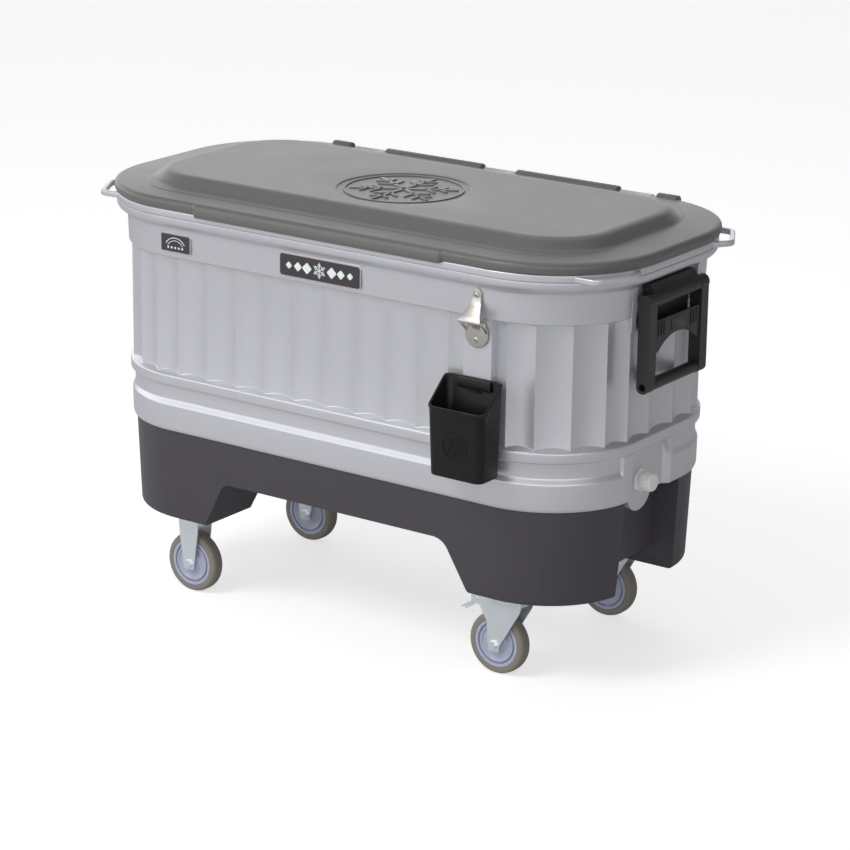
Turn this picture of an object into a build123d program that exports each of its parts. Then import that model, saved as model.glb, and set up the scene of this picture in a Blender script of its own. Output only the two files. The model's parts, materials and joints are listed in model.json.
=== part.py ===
from build123d import *
import math
import os

# Party-size ice cooler on four casters. Millimetres, +Z up, front = -Y, floor at z = 0.

# ---------------------------------------------------------------- driving sizes
LENGTH = 1250.0            # over the rim, along X
WIDTH = 633.4              # over the rim, along Y
CORNER_R = 227.5           # plan radius of the rim's corners
HALF_L = LENGTH / 2
HALF_W = WIDTH / 2
CORNER_X = HALF_L - CORNER_R
CORNER_Y = HALF_W - CORNER_R

Z_LEG = 176.0              # underside of the four legs
Z_SHELL = 371.0            # underside of the tub
Z_BAND = 430.0             # top of the wide lower band
Z_BEAD = 466.0             # underside of the bead below the flutes
Z_FLUTES = 494.0
Z_COLLAR = 739.0
Z_ROLL = 809.0             # underside of the rolled flange
Z_RIM = 828.0              # joint between the tub and its rim
Z_RIM_TOP = 843.0
Z_LID = 844.0              # underside of the lid skirt
Z_BORDER = 865.0           # flat border of the lid
Z_PANEL = 889.0            # raised panel of the lid
IN_TERRACE = 51.0          # step on the lid's border
IN_SLOPE = 78.0            # foot of the panel's slope
IN_PANEL = 114.0           # edge of the flat panel

# insets from the rim's outline
IN_FLUTE_RIDGE = 30.0
IN_FLUTE_VALLEY = 38.5
IN_BODY = 33.0
IN_COLLAR = 23.0
IN_BEAD = 24.5
IN_BAND = 28.0
IN_VOID = 43.0             # inner face of the shell's wall
IN_MOUTH = 85.0            # mouth of the tub
IN_FLOOR = 98.0            # floor of the tub
IN_BASE = 36.0
IN_LEG = 44.0
Z_TUB_FLOOR = 500.0
Z_SUMP = 382.0
Z_ARCH = 279.0

FLUTE_PITCH = 73.6
CORNER_RIDGES = [8.3, 24.7, 45.0, 65.3, 81.7]     # degrees round each corner

LOOP_REACH = 257.0         # tie-down loops, from the corner's centre
LOOP_FOOT = 82.0
LOOP_GRIP = 49.0
LOOP_BAR = 10.0
LOOP_HIGH = 12.0

HINGE_Y = 320.0
HINGE_Z = 858.0
BARREL_R = 13.0
KNUCKLE_R = 7.5
PIN_R = 3.5
RUNNING = 0.06             # radial play of a running fit
BARRELS = [(43.0, 290.0), (383.0, 430.0)]
KNUCKLES = [(-39.0, 39.0), (294.0, 371.0), (-371.0, -294.0)]

ACCESSORY_X = 365.0        # centre line of the opener and the catch bin
PAD_HALF = 32.0
PAD_Y = -(HALF_W - IN_COLLAR)
BIN_BACK = PAD_Y - 0.6
BIN_FRONT = -370.5
BIN_TOP = 623.0
BIN_LOW = 438.0
BIN_HALF = 65.0
BIN_CORNER = 15.0
BIN_TAPER = 5.0
BIN_FRONT_Z = 576.0        # lip of the bin's low front

ARM_HALF = 108.0           # outer faces of a handle's arms
ARM_WIDE = 26.0
ARM_R = 14.5               # round of an arm at its pivot
BRACKET_HALF = 81.0
BRACKET_R = 14.0
PIN_HALF = ARM_HALF - 6    # half length of a handle's pin
PIVOT_X = 616.0
PIVOT_Z = 770.0
GRIP_Z = 604.0
BRACKET_X = 595.2          # back of a handle bracket, on the flutes' ridges
NICHE_HALF = 110.0         # recess of the collar behind a handle
LUG_Y = 116.5
LUG_Z = 714.0

DRAIN_Y = -49.0
DRAIN_Z = 400.0
POCKET_X = 582.0

WHEEL_R = 63.5
WHEEL_W = 31.0
AXLE_Z = WHEEL_R
CASTER_Y = 200.0
RIGID_X = -400.0
SWIVEL_X = 394.0
TRAIL = 26.0               # the swivel axle sits this far towards -X
PEDAL_BACK = 66.0          # and the brake's pin this far
PEDAL_Z = 150.0
PEDAL_PIN_R = 3.0
AXLE_R = 5.0

# the box of the whole cooler is centred on the origin in plan
SHIFT_Y = -(BIN_FRONT + HINGE_Y + BARREL_R) / 2

os.makedirs("parts", exist_ok=True)


def save(name, shape):
    """Write one node, moved so that the whole cooler is centred in Y."""
    solids = [Pos(0, SHIFT_Y, 0) * solid for solid in shape.solids()]
    export_step(solids[0] if len(solids) == 1 else Compound(solids), f"parts/{name}.step")


def ring(inset, z):
    """Rounded rectangle parallel to the rim, at a height."""
    face = RectangleRounded(2 * (HALF_L - inset), 2 * (HALF_W - inset), CORNER_R - inset)
    return Pos(0, 0, z) * face


def stack(levels):
    """Solid through a list of (z, inset) rings."""
    return loft([ring(inset, z) for z, inset in levels], ruled=True)


def block(x0, x1, y0, y1, z0, z1):
    """Box from its limits."""
    return Pos((x0 + x1) / 2, (y0 + y1) / 2, (z0 + z1) / 2) * Box(x1 - x0, y1 - y0, z1 - z0)


def rod_x(x0, x1, y, z, radius):
    """Cylinder along X."""
    return Pos((x0 + x1) / 2, y, z) * Rot(0, 90, 0) * Cylinder(radius, x1 - x0)


def rod_y(y0, y1, x, z, radius):
    """Cylinder along Y."""
    return Pos(x, (y0 + y1) / 2, z) * Rot(90, 0, 0) * Cylinder(radius, y1 - y0)


def rod_z(z0, z1, x, y, radius):
    """Cylinder along Z."""
    return Pos(x, y, (z0 + z1) / 2) * Cylinder(radius, z1 - z0)


def hexagon_z(z0, z1, x, y, across):
    """Hexagonal prism along Z, by its width across flats."""
    outline = RegularPolygon(across / 2, 6, major_radius=False)
    return Pos(x, y, z0) * extrude(outline, z1 - z0)


def mirror_x(shape):
    """Mirror image across the cooler's middle."""
    return mirror(shape, about=Plane.YZ)


# ---------------------------------------------------------------- tub
def edge_point(corner, degrees, inset):
    """Point of the rounded outline: corner signs, angle from the long side, inset."""
    radius = CORNER_R - inset
    a = math.radians(degrees)
    return (corner[0] * (CORNER_X + radius * math.sin(a)), corner[1] * (CORNER_Y + radius * math.cos(a)))


def flute_stations():
    """Ridges round the tub, anticlockwise from the front's middle: functions of inset."""
    count = int(CORNER_X // FLUTE_PITCH)
    front = [i * FLUTE_PITCH for i in range(-count, count + 1)]
    side = [-44.0, 44.0]
    stations = [lambda d, x=x: (x, -(HALF_W - d)) for x in front]
    stations += [lambda d, a=a: edge_point((1, -1), a, d) for a in CORNER_RIDGES]
    stations += [lambda d, y=y: (HALF_L - d, y) for y in side]
    stations += [lambda d, a=a: edge_point((1, 1), a, d) for a in reversed(CORNER_RIDGES)]
    stations += [lambda d, x=x: (x, HALF_W - d) for x in reversed(front)]
    stations += [lambda d, a=a: edge_point((-1, 1), a, d) for a in CORNER_RIDGES]
    stations += [lambda d, y=y: (-(HALF_L - d), -y) for y in side]
    stations += [lambda d, a=a: edge_point((-1, -1), a, d) for a in reversed(CORNER_RIDGES)]
    return stations


def flute_outline():
    """Scalloped outline: one shallow concave arc from ridge to ridge."""
    stations = flute_stations()
    ridges = [Vector(*s(IN_FLUTE_RIDGE)) for s in stations]
    valleys = [Vector(*s(IN_FLUTE_VALLEY)) for s in stations]
    arcs = []
    for i, start in enumerate(ridges):
        j = (i + 1) % len(ridges)
        middle = (valleys[i] + valleys[j]) / 2
        arcs.append(ThreePointArc(start, middle, ridges[j]))
    return make_face(Wire(arcs))


def build_outer_shell():
    """Blow-moulded outer wall: band, bead, flutes, collar and rolled flange."""
    band = stack([(Z_SHELL, IN_BODY), (Z_BAND - 3, IN_BAND), (Z_BAND + 3, IN_BODY), (Z_BEAD - 2, IN_BODY),
                  (Z_BEAD + 3, IN_BEAD), (Z_FLUTES - 6, IN_BEAD - 0.5), (Z_FLUTES, IN_FLUTE_RIDGE + 1)])
    flutes = Pos(0, 0, Z_FLUTES - 10) * extrude(flute_outline(), Z_COLLAR + 10 - Z_FLUTES)
    collar = stack([(Z_COLLAR - 4, IN_FLUTE_RIDGE), (Z_COLLAR + 2, IN_COLLAR + 1), (Z_ROLL - 3, IN_COLLAR - 1),
                    (Z_ROLL + 2, 4), (Z_ROLL + 6, 1), (Z_RIM, 1)])
    pad = stack([(Z_FLUTES - 8, IN_COLLAR), (Z_COLLAR + 8, IN_COLLAR)])
    pad &= block(ACCESSORY_X - PAD_HALF, ACCESSORY_X + PAD_HALF, -400, 0, Z_FLUTES - 8, Z_COLLAR + 8)
    shell = band + flutes + collar + pad
    for side in (1, -1):
        for end in (1, -1):
            x = end * (HALF_L - IN_COLLAR - 5)
            shell += block(x - 8, x + 5, side * LUG_Y - 6, side * LUG_Y + 6, LUG_Z, Z_COLLAR + 3)
        x = side * (HALF_L - 4)
        shell -= block(x - 29, x + 29, -NICHE_HALF, NICHE_HALF, Z_COLLAR - 6, Z_ROLL - 7)
        for y, z in bracket_screw_places():
            shell -= rod_x(min(side * 584, side * 600), max(side * 584, side * 600), y, z, 2.7)
    # recess and tongue round the drain
    cheek = block(POCKET_X - 6, HALF_L - IN_BAND - 1, -108, 47, Z_SHELL, Z_FLUTES - 24)
    shell += cheek & stack([(Z_SHELL, IN_BAND), (Z_FLUTES, IN_BAND)])
    pocket = block(POCKET_X, HALF_L, -99, 38, 330, 465)
    pocket = fillet(pocket.edges().filter_by(Axis.X).group_by(Axis.Z)[-1], 24)
    shell -= pocket
    tongue = rod_x(POCKET_X - 6, POCKET_X, DRAIN_Y, 383, 45)
    shell += tongue - block(0, HALF_L, -200, 200, 384, 500)
    # room inside for the foam and the liner
    void = stack([(Z_SHELL + 4, IN_VOID), (Z_COLLAR, IN_VOID), (Z_COLLAR + 8, IN_COLLAR + 5),
                  (Z_ROLL - 3, IN_COLLAR + 4), (Z_ROLL + 4, 7), (Z_RIM, 5)])
    for side in (1, -1):
        x = side * (HALF_L - 8)
        void -= block(x - 29, x + 29, -NICHE_HALF - 4, NICHE_HALF + 4, Z_COLLAR - 10, Z_ROLL - 3)
    void -= block(POCKET_X - 4, HALF_L, -103, 42, Z_SHELL, 469)
    return shell - void, void


def build_rim():
    """Flange of the rim with four tie-down loops and the hinge knuckles."""
    rim = stack([(Z_RIM, 1), (Z_RIM_TOP - 2, 1), (Z_RIM_TOP, 3)]) - stack([(Z_RIM - 1, 45), (Z_RIM_TOP + 1, 45)])
    outline = make_face(Polyline((190, -LOOP_FOOT), (LOOP_REACH, -LOOP_GRIP), (LOOP_REACH, LOOP_GRIP),
                                 (190, LOOP_FOOT), close=True))
    outline = fillet(outline.vertices().sort_by(Axis.X)[-2:], 12)
    loop = extrude(outline - offset(outline, -LOOP_BAR), LOOP_HIGH)
    loop -= block(0, CORNER_R - 14, -90, 90, -1, LOOP_HIGH + 1)
    for sx, sy, turn in ((1, 1, 29), (1, -1, -29), (-1, 1, 151), (-1, -1, -151)):
        rim += Pos(sx * CORNER_X, sy * CORNER_Y, Z_RIM + 1) * Rot(0, 0, turn) * loop
    rim -= stack([(Z_RIM - 1, 45), (Z_RIM_TOP + 1, 45)])
    for x0, x1 in KNUCKLES:
        rim += block(x0, x1, 304, HINGE_Y + KNUCKLE_R, Z_RIM + 1, Z_RIM_TOP)
        rim += block(x0, x1, HINGE_Y - KNUCKLE_R, HINGE_Y + KNUCKLE_R, Z_RIM_TOP - 1, HINGE_Z)
        rim += rod_x(x0, x1, HINGE_Y, HINGE_Z, KNUCKLE_R)
    return rim - rod_x(-440, 440, HINGE_Y, HINGE_Z, PIN_R)


def build_liner():
    """Inner tub with a sloped wall, a drain sump and the drain hole."""
    outer = stack([(Z_TUB_FLOOR - 4, IN_FLOOR - 3), (Z_RIM_TOP - 7, IN_MOUTH - 3)])
    flange = stack([(Z_RIM_TOP - 7, 45), (Z_RIM_TOP, 45)])
    inner = stack([(Z_TUB_FLOOR, IN_FLOOR), (Z_RIM_TOP + 1, IN_MOUTH)])
    inner = fillet(inner.faces().sort_by(Axis.Z)[0].edges(), 24)
    outer = fillet(outer.faces().sort_by(Axis.Z)[0].edges(), 26)
    sump_out = block(470, 533, -92, -6, Z_SUMP - 3, Z_TUB_FLOOR - 2)
    sump_in = block(473, 530, -89, -9, Z_SUMP, Z_TUB_FLOOR + 4)
    liner = outer + flange + sump_out - inner - sump_in
    return liner - rod_x(500, 540, DRAIN_Y, DRAIN_Z, 13), outer + flange + sump_out


# ---------------------------------------------------------------- lid
def build_lid():
    """Lid skin with its raised panel and hinge barrels, inner pan and foam core."""
    def hollow(clear):
        return [(Z_LID + 12, 1 + clear), (Z_BORDER - 4, 4 + clear), (Z_BORDER, IN_TERRACE + 3 + clear),
                (Z_BORDER + 2.5, IN_SLOPE + 2 + clear), (Z_PANEL - 8, IN_PANEL - 14 + clear),
                (Z_PANEL - 3.5, IN_PANEL + clear)]

    skin = stack([(Z_LID, 1), (Z_LID + 12, -4), (Z_BORDER - 3, -2), (Z_BORDER, 4), (Z_BORDER + 3, IN_TERRACE),
                  (Z_BORDER + 6, IN_SLOPE), (Z_PANEL - 4, IN_PANEL - 16), (Z_PANEL, IN_PANEL)])
    pull = stack([(838, -5), (846, -8), (858, -7), (864, 0)])
    pull &= block(-298, 298, -400, -280, 836, 866)
    skin += pull
    for x0, x1 in BARRELS:
        for a, b in ((x0, x1), (-x1, -x0)):
            skin += rod_x(a, b, HINGE_Y, HINGE_Z, BARREL_R)
    skin -= stack([(Z_LID - 1, 4)] + hollow(0))
    skin -= stack([(830, -1.5), (Z_LID, -1.5)])
    pan = stack([(Z_LID, 4.2), (Z_LID + 3, 3.2)]) - stack([(Z_LID - 1, 93), (Z_LID + 4, 93)])
    plug = stack([(826, 96), (Z_LID + 3, 90)]) - stack([(829, 99), (Z_LID + 4, 93)])
    pan += plug
    core = stack([(Z_LID + 3, 4)] + hollow(0.2))
    core += stack([(829.2, 99.4), (Z_LID + 3, 93.6)])
    core -= skin
    for x0, x1 in KNUCKLES:
        gap = block(x0 - 4, x1 + 4, HINGE_Y - KNUCKLE_R - 2, 345, 830, 875)
        skin -= gap
        pan -= gap
        skin += block(x0 - 4.5, x1 + 4.5, HINGE_Y - KNUCKLE_R - 5, HINGE_Y - KNUCKLE_R - 2, Z_LID, Z_BORDER)
        pan -= block(x0 - 5, x1 + 5, HINGE_Y - KNUCKLE_R - 5.2, 345, 830, 875)
        core -= block(x0 - 8, x1 + 8, HINGE_Y - KNUCKLE_R - 6, 345, 830, 875)
    for x0, x1 in BARRELS:
        for a, b in ((x0, x1), (-x1, -x0)):
            pan -= rod_x(a - 1, b + 1, HINGE_Y, HINGE_Z, BARREL_R + 0.2)
            core -= rod_x(a - 1, b + 1, HINGE_Y, HINGE_Z, BARREL_R + 0.2)
            skin -= block(a - 0.2, b + 0.2, 290, HINGE_Y + BARREL_R + 1, 830, Z_LID)
    skin -= rod_x(-440, 440, HINGE_Y, HINGE_Z, PIN_R + RUNNING)
    return skin, pan, core


# ---------------------------------------------------------------- base
def build_base():
    """Skirt moulding: a tray under the tub with four hollow legs."""
    body = stack([(Z_LEG, IN_LEG), (Z_SHELL - 0.5, IN_BASE)])
    body = fillet(body.faces().sort_by(Axis.Z)[0].edges(), 10)
    arch = Plane.XZ * make_face(Polyline((-321, 100), (-317, Z_LEG), (-262, Z_ARCH), (280, Z_ARCH), (339, Z_LEG),
                                         (343, 100), close=True))
    arch = extrude(arch, 400, both=True)
    for end, radius in ((0, 22), (-1, 38)):
        top = arch.edges().filter_by(Axis.Y).filter_by(lambda e: abs(e.center().Z - Z_ARCH) < 0.1)
        arch = fillet(top.sort_by(Axis.X)[end], radius)
    near, far, lean = -119.0, 90.0, 13.0
    body -= arch
    for side in (1, -1):
        body -= block(min(side * 260, side * 531), max(side * 260, side * 531), near, far, 100, 215)
        body -= end_way(side, 531, near, far, lean)
    wall = 5.0
    room = stack([(Z_LEG + 6, IN_LEG + wall), (Z_SHELL, IN_BASE + wall)])
    room -= extrude(Plane.XZ * make_face(Polyline((-324, 100), (-323, Z_LEG), (-268, 285), (286, 285), (345, Z_LEG),
                                                  (349, 100), close=True)), 400, both=True)
    for side in (1, -1):
        limits = (min(side * 250, side * 526), max(side * 250, side * 526))
        room -= block(*limits, near - wall, far + wall, 100, 221)
        room -= end_way(side, 526, near - wall, far + wall, lean)
    base = body - room
    for x, y in base_screw_places():
        base += rod_z(279, Z_SHELL - 0.5, x, y, 12)
    for x, y in base_screw_places():
        base -= rod_z(270, 380, x, y, 3.5) + rod_z(270, 300, x, y, 7.5)
    for cx, cy in caster_places():
        for x, y in bolt_places(cx, cy):
            base -= rod_z(170, 190, x, y, 4.4)
    return base


def end_way(side, x, near, far, lean):
    """Gap between the two legs of one end: its near side leans towards the front."""
    outline = Polyline((near - 5, 100), (near + lean, 400), (far, 400), (far, 100), close=True)
    prism = extrude(Plane.YZ * make_face(outline), 700 - x)
    return Pos(x if side > 0 else -700, 0, 0) * prism


def base_screw_places():
    """Screws that hold the tub down on the base."""
    return [(x, y) for x in (-200.0, 0.0, 200.0) for y in (-210.0, 210.0)]


def build_base_screws():
    """Pan-head screws from below into the tub's floor."""
    group = None
    for x, y in base_screw_places():
        screw = rod_z(296, 300, x, y, 6.5) + rod_z(300, Z_SHELL - 0.5, x, y, 3.5)
        group = screw if group is None else group + screw
    return group


# ---------------------------------------------------------------- casters
def caster_places():
    """Centres of the four top plates."""
    return [(x, y) for x in (RIGID_X, SWIVEL_X) for y in (-CASTER_Y, CASTER_Y)]


def bolt_places(cx, cy):
    """Four bolts of one top plate."""
    return [(cx + 37.5 * i, cy + 26 * j) for i in (1, -1) for j in (1, -1)]


def build_caster_bolts():
    """Hex bolts with their nuts run down above each leg's floor."""
    parts = []
    for cx, cy in caster_places():
        for x, y in bolt_places(cx, cy):
            bolt = rod_z(Z_LEG - 3, 197, x, y, 4) + hexagon_z(Z_LEG - 8.5, Z_LEG - 3, x, y, 13)
            bolt += hexagon_z(Z_LEG + 6, Z_LEG + 13, x, y, 13)
            parts.append(bolt)
    return Compound([solid for part in parts for solid in part.solids()])


def top_plate(cx, cy):
    """Caster plate, 95 by 72, with four holes."""
    plate = Pos(cx, cy, Z_LEG - 1.5) * extrude(RectangleRounded(95, 72, 8), 1.5, both=True)
    for x, y in bolt_places(cx, cy):
        plate -= rod_z(170, 180, x, y, 4.2)
    return plate


def leg_plate(points, y0, y1, corner):
    """Fork side plate: closed outline in XZ, thickness along Y, rounded corners."""
    face = make_face(Polyline(*points, close=True))
    face = fillet(face.vertices(), corner)
    solid = extrude(Plane.XZ * face, y1 - y0)
    box = solid.bounding_box()
    return Pos(0, y1 - box.max.Y, 0) * solid


def build_rigid_fork(cx, cy):
    """Fixed fork: top plate with two tapered legs."""
    fork = top_plate(cx, cy)
    for side in (1, -1):
        y0 = cy + side * 22 - 1.5
        points = [(cx - 27, Z_LEG - 2), (cx + 27, Z_LEG - 2), (cx + 24, 130), (cx + 14, AXLE_Z), (cx + 13, 50),
                  (cx - 13, 50), (cx - 14, AXLE_Z), (cx - 24, 130)]
        fork += leg_plate(points, y0, y0 + 3, 6)
    return fork - rod_y(cy - 40, cy + 40, cx, AXLE_Z, AXLE_R)


def build_swivel_plate(cx, cy):
    """Top plate with the upper race and the kingpin."""
    plate = top_plate(cx, cy) + rod_z(164, Z_LEG - 3, cx, cy, 27) + rod_z(150, 164, cx, cy, 7)
    return plate + rod_z(146, 150, cx, cy, 10)


def build_yoke(cx, cy):
    """Swivel fork: race dish, two raked legs and the web between them."""
    ax = cx - TRAIL
    yoke = rod_z(152, 163.5, cx, cy, 38) - rod_z(150, 165, cx, cy, 7 + RUNNING)
    for side in (1, -1):
        y0 = cy + side * 22 - 1.5
        points = [(cx - 80, 161), (cx + 38, 161), (cx + 33, 140), (ax + 14, AXLE_Z), (ax + 12, 49), (ax - 10, 49),
                  (ax - 14, AXLE_Z), (ax - 16, 108), (cx - 60, 138), (cx - 80, 144)]
        yoke += leg_plate(points, y0, y0 + 3, 4)
    yoke += block(cx - 38, cx + 36, cy - 23.5, cy + 23.5, 152, 155) - rod_z(150, 165, cx, cy, 11)
    yoke -= rod_z(140, 152, cx, cy, 11)
    yoke -= rod_y(cy - 40, cy + 40, ax, AXLE_Z, AXLE_R)
    return yoke - rod_y(cy - 40, cy + 40, cx - PEDAL_BACK, PEDAL_Z, PEDAL_PIN_R)


def build_axle(ax, cy):
    """Hex-head axle bolt with its nut."""
    flat = RegularPolygon(8, 6, major_radius=False)
    head = Plane.XZ * extrude(flat, 5.5)
    head = Pos(ax, cy - 23.5, AXLE_Z) * head
    nut = Pos(ax, cy + 23.5 + 6.5, AXLE_Z) * (Plane.XZ * extrude(flat, 6.5))
    return head + rod_y(cy - 23.5, cy + 23.5 + 8.5, ax, AXLE_Z, AXLE_R) + nut


def build_tyre(ax, cy):
    """Tread ring with rounded shoulders."""
    tyre = rod_y(cy - WHEEL_W / 2, cy + WHEEL_W / 2, ax, AXLE_Z, WHEEL_R)
    tyre = fillet(tyre.edges().filter_by(GeomType.CIRCLE), 7)
    return tyre - rod_y(cy - 20, cy + 20, ax, AXLE_Z, 49)


def build_hub(ax, cy):
    """Hub moulding: rim ring, stepped disc and bearing seat."""
    hub = rod_y(cy - 14.5, cy + 14.5, ax, AXLE_Z, 49)
    for side in (1, -1):
        face = cy + side * 14.5
        groove = rod_y(min(face, face - side * 7), max(face, face - side * 7), ax, AXLE_Z, 42.5)
        hub -= groove - rod_y(cy - 20, cy + 20, ax, AXLE_Z, 39)
        dish = rod_y(min(face, face - side * 2.5), max(face, face - side * 2.5), ax, AXLE_Z, 34)
        hub -= dish - rod_y(cy - 20, cy + 20, ax, AXLE_Z, 22)
    hub += rod_y(cy - 17.5, cy + 17.5, ax, AXLE_Z, 14)
    return hub - rod_y(cy - 20, cy + 20, ax, AXLE_Z, 9)


def build_sleeve(ax, cy):
    """Bearing sleeve between the hub and the axle."""
    return rod_y(cy - 19, cy + 19, ax, AXLE_Z, 9) - rod_y(cy - 20, cy + 20, ax, AXLE_Z, AXLE_R + RUNNING)


def build_pedal(cx, cy):
    """Brake pedal: pad outside the fork, hub on the cross pin and a shoe over the tyre."""
    px, pz = cx - PEDAL_BACK, PEDAL_Z
    pedal = rod_y(cy - 19.5, cy + 19.5, px, pz, 6)
    sheet = block(-48, 0, -19, 19, -1.5, 1.5)
    for side in (1, -1):
        sheet += block(-40, -4, side * 18 - 1, side * 18 + 1, -8, 0)
    pad = Pos(px, cy, pz) * Rot(0, -33, 0) * sheet
    shoe = Pos(px, cy, pz) * block(0, 16, -15, 15, -3.5, 0)
    return pedal + pad + shoe - rod_y(cy - 30, cy + 30, px, pz, PEDAL_PIN_R + RUNNING)


# ---------------------------------------------------------------- fittings
def build_handle():
    """Swing handle of the right end: two arms, ribbed web and tubular grip."""
    arms = None
    for side in (1, -1):
        y0, y1 = sorted((side * ARM_HALF, side * (ARM_HALF - ARM_WIDE)))
        arm = block(PIVOT_X - 13, PIVOT_X + 13, y0, y1, GRIP_Z, PIVOT_Z)
        arm += rod_y(y0, y1, PIVOT_X, PIVOT_Z, ARM_R) + rod_y(y0, y1, PIVOT_X, GRIP_Z, 13)
        arms = arm if arms is None else arms + arm
    web = block(PIVOT_X + 4, PIVOT_X + 10, -84, 84, 668, 730)
    web -= rod_x(PIVOT_X, PIVOT_X + 20, 0, 590, 105)
    for y in (-70, -60, -50, 50, 60, 70):
        web += block(PIVOT_X + 10, PIVOT_X + 12, y - 1.5, y + 1.5, 698, 726)
    web += block(PIVOT_X + 10, PIVOT_X + 11.2, -24, 24, 701, 723)
    grip = rod_y(-84, 84, PIVOT_X, GRIP_Z, 12)
    handle = arms + web + grip
    for side in (1, -1):
        y0, y1 = sorted((side * (ARM_HALF + 1), side * (ARM_HALF - 20)))
        handle -= rod_y(y0, y1, PIVOT_X, GRIP_Z, 7)
    return handle - rod_y(-PIN_HALF, PIN_HALF, PIVOT_X, PIVOT_Z, 5)


def build_bracket():
    """Handle bracket of the right end: wall plate with a barrel for the pivot."""
    half = BRACKET_HALF
    plate = block(BRACKET_X, BRACKET_X + 4, -half, half, 700, 800)
    plate += block(BRACKET_X + 3, PIVOT_X, -half, half, PIVOT_Z - 9, PIVOT_Z + 9)
    plate += rod_y(-half, half, PIVOT_X, PIVOT_Z, BRACKET_R)
    top = Plane.XZ * make_face(Polyline((BRACKET_X + 3, 776), (BRACKET_X + 3, 800), (611, 800), (PIVOT_X + 6, 782),
                                        close=True))
    plate += extrude(top, half, both=True)
    for y, z in bracket_screw_places():
        plate -= rod_x(580, 602, y, z, 2.7)
    return plate - rod_y(-90, 90, PIVOT_X, PIVOT_Z, 5 + RUNNING)


def bracket_screw_places():
    """Four wood-thread screws of one bracket: (y, z)."""
    return [(y, 712.0) for y in (-60.0, -20.0, 20.0, 60.0)]


def build_bracket_screws():
    """Pan-head screws of both brackets."""
    parts = []
    for y, z in bracket_screw_places():
        screw = rod_x(586, BRACKET_X + 4, y, z, 2.5) + rod_x(BRACKET_X + 4, BRACKET_X + 7, y, z, 5)
        parts += [screw, mirror_x(screw)]
    return Compound([solid for part in parts for solid in part.solids()])


def build_handle_pin():
    """Steel rod through both arms and the bracket's barrel."""
    return rod_y(-PIN_HALF, PIN_HALF, PIVOT_X, PIVOT_Z, 5)


def build_opener():
    """Cast bottle opener: mounting plate, hood and flared catch below it."""
    x, y = ACCESSORY_X, PAD_Y
    top, low = 785.0, 698.0
    back = hull_plate([(x, top, 11), (x, 728, 22), (x, low, 13)], y - 5.0, y - 1.0)
    hood = Pos(x, y - 12, 741) * Rot(90, 0, 0) * Cylinder(21, 24)
    hood -= Pos(x, y - 16, 741) * Rot(90, 0, 0) * Cylinder(15, 28)
    hood -= block(x - 40, x + 40, y - 40, y - 4, 690, 738)
    opener = back + hood
    for z in (top, low):
        opener -= rod_y(y - 6, y + 1, x, z, 2.7)
    return opener


def hull_plate(circles, y0, y1):
    """Plate whose outline wraps a column of circles (x, z, radius)."""
    plate = None
    for x, z, r in circles:
        disc = rod_y(y0, y1, x, z, r)
        plate = disc if plate is None else plate + disc
    for (xa, za, ra), (xb, zb, rb) in zip(circles, circles[1:]):
        face = make_face(Polyline((xa - ra, za), (xa + ra, za), (xb + rb, zb), (xb - rb, zb), close=True))
        web = extrude(Plane.XZ * face, y1 - y0)
        plate += Pos(0, y1 - web.bounding_box().max.Y, 0) * web
    return plate


def build_opener_screws():
    """Two domed screws of the opener."""
    parts = []
    for z in (785.0, 698.0):
        head = Pos(ACCESSORY_X, PAD_Y - 5, z) * Sphere(5.2)
        head &= block(300, 420, PAD_Y - 9, PAD_Y - 5, z - 8, z + 8)
        parts.append(rod_y(PAD_Y - 5, PAD_Y - 1, ACCESSORY_X, z, 2.5) + head)
    return Compound([solid for part in parts for solid in part.solids()])


def build_bin():
    """Cap catcher: open tapered box with a low front and a slot for its hook."""
    x = ACCESSORY_X

    def tank(grow, floor):
        low = Pos(x, (BIN_BACK + BIN_FRONT) / 2 + 3, floor) * RectangleRounded(
            2 * (BIN_HALF - BIN_TAPER + grow), BIN_BACK - BIN_FRONT - 6 + 2 * grow, BIN_CORNER)
        high = Pos(x, (BIN_BACK + BIN_FRONT) / 2, BIN_TOP) * RectangleRounded(
            2 * (BIN_HALF + grow), BIN_BACK - BIN_FRONT + 2 * grow, BIN_CORNER)
        return loft([low, high], ruled=True)

    body = tank(0, BIN_LOW) - tank(-2.6, BIN_LOW + 3)
    drop = Plane.YZ * make_face(Polyline((BIN_FRONT - 20, BIN_FRONT_Z), (BIN_FRONT + 6, BIN_FRONT_Z),
                                         (BIN_BACK - 8, BIN_TOP + 2), (BIN_BACK - 8, BIN_TOP + 37),
                                         (BIN_FRONT - 20, BIN_TOP + 37), close=True))
    body -= Pos(x, 0, 0) * extrude(drop, 90, both=True)
    return body - block(x - 13, x + 13, BIN_BACK - 12, BIN_BACK + 2, 574, 600)


def build_bin_hook():
    """Screwed-on hook: plate on the pad, stub through the slot and an upturned lip."""
    x = ACCESSORY_X
    hook = block(x - 12, x + 12, BIN_BACK - 6.5, PAD_Y, 594, 599.6)
    return hook + block(x - 12, x + 12, BIN_BACK - 6.5, BIN_BACK - 3.4, 594, 612)


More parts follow.
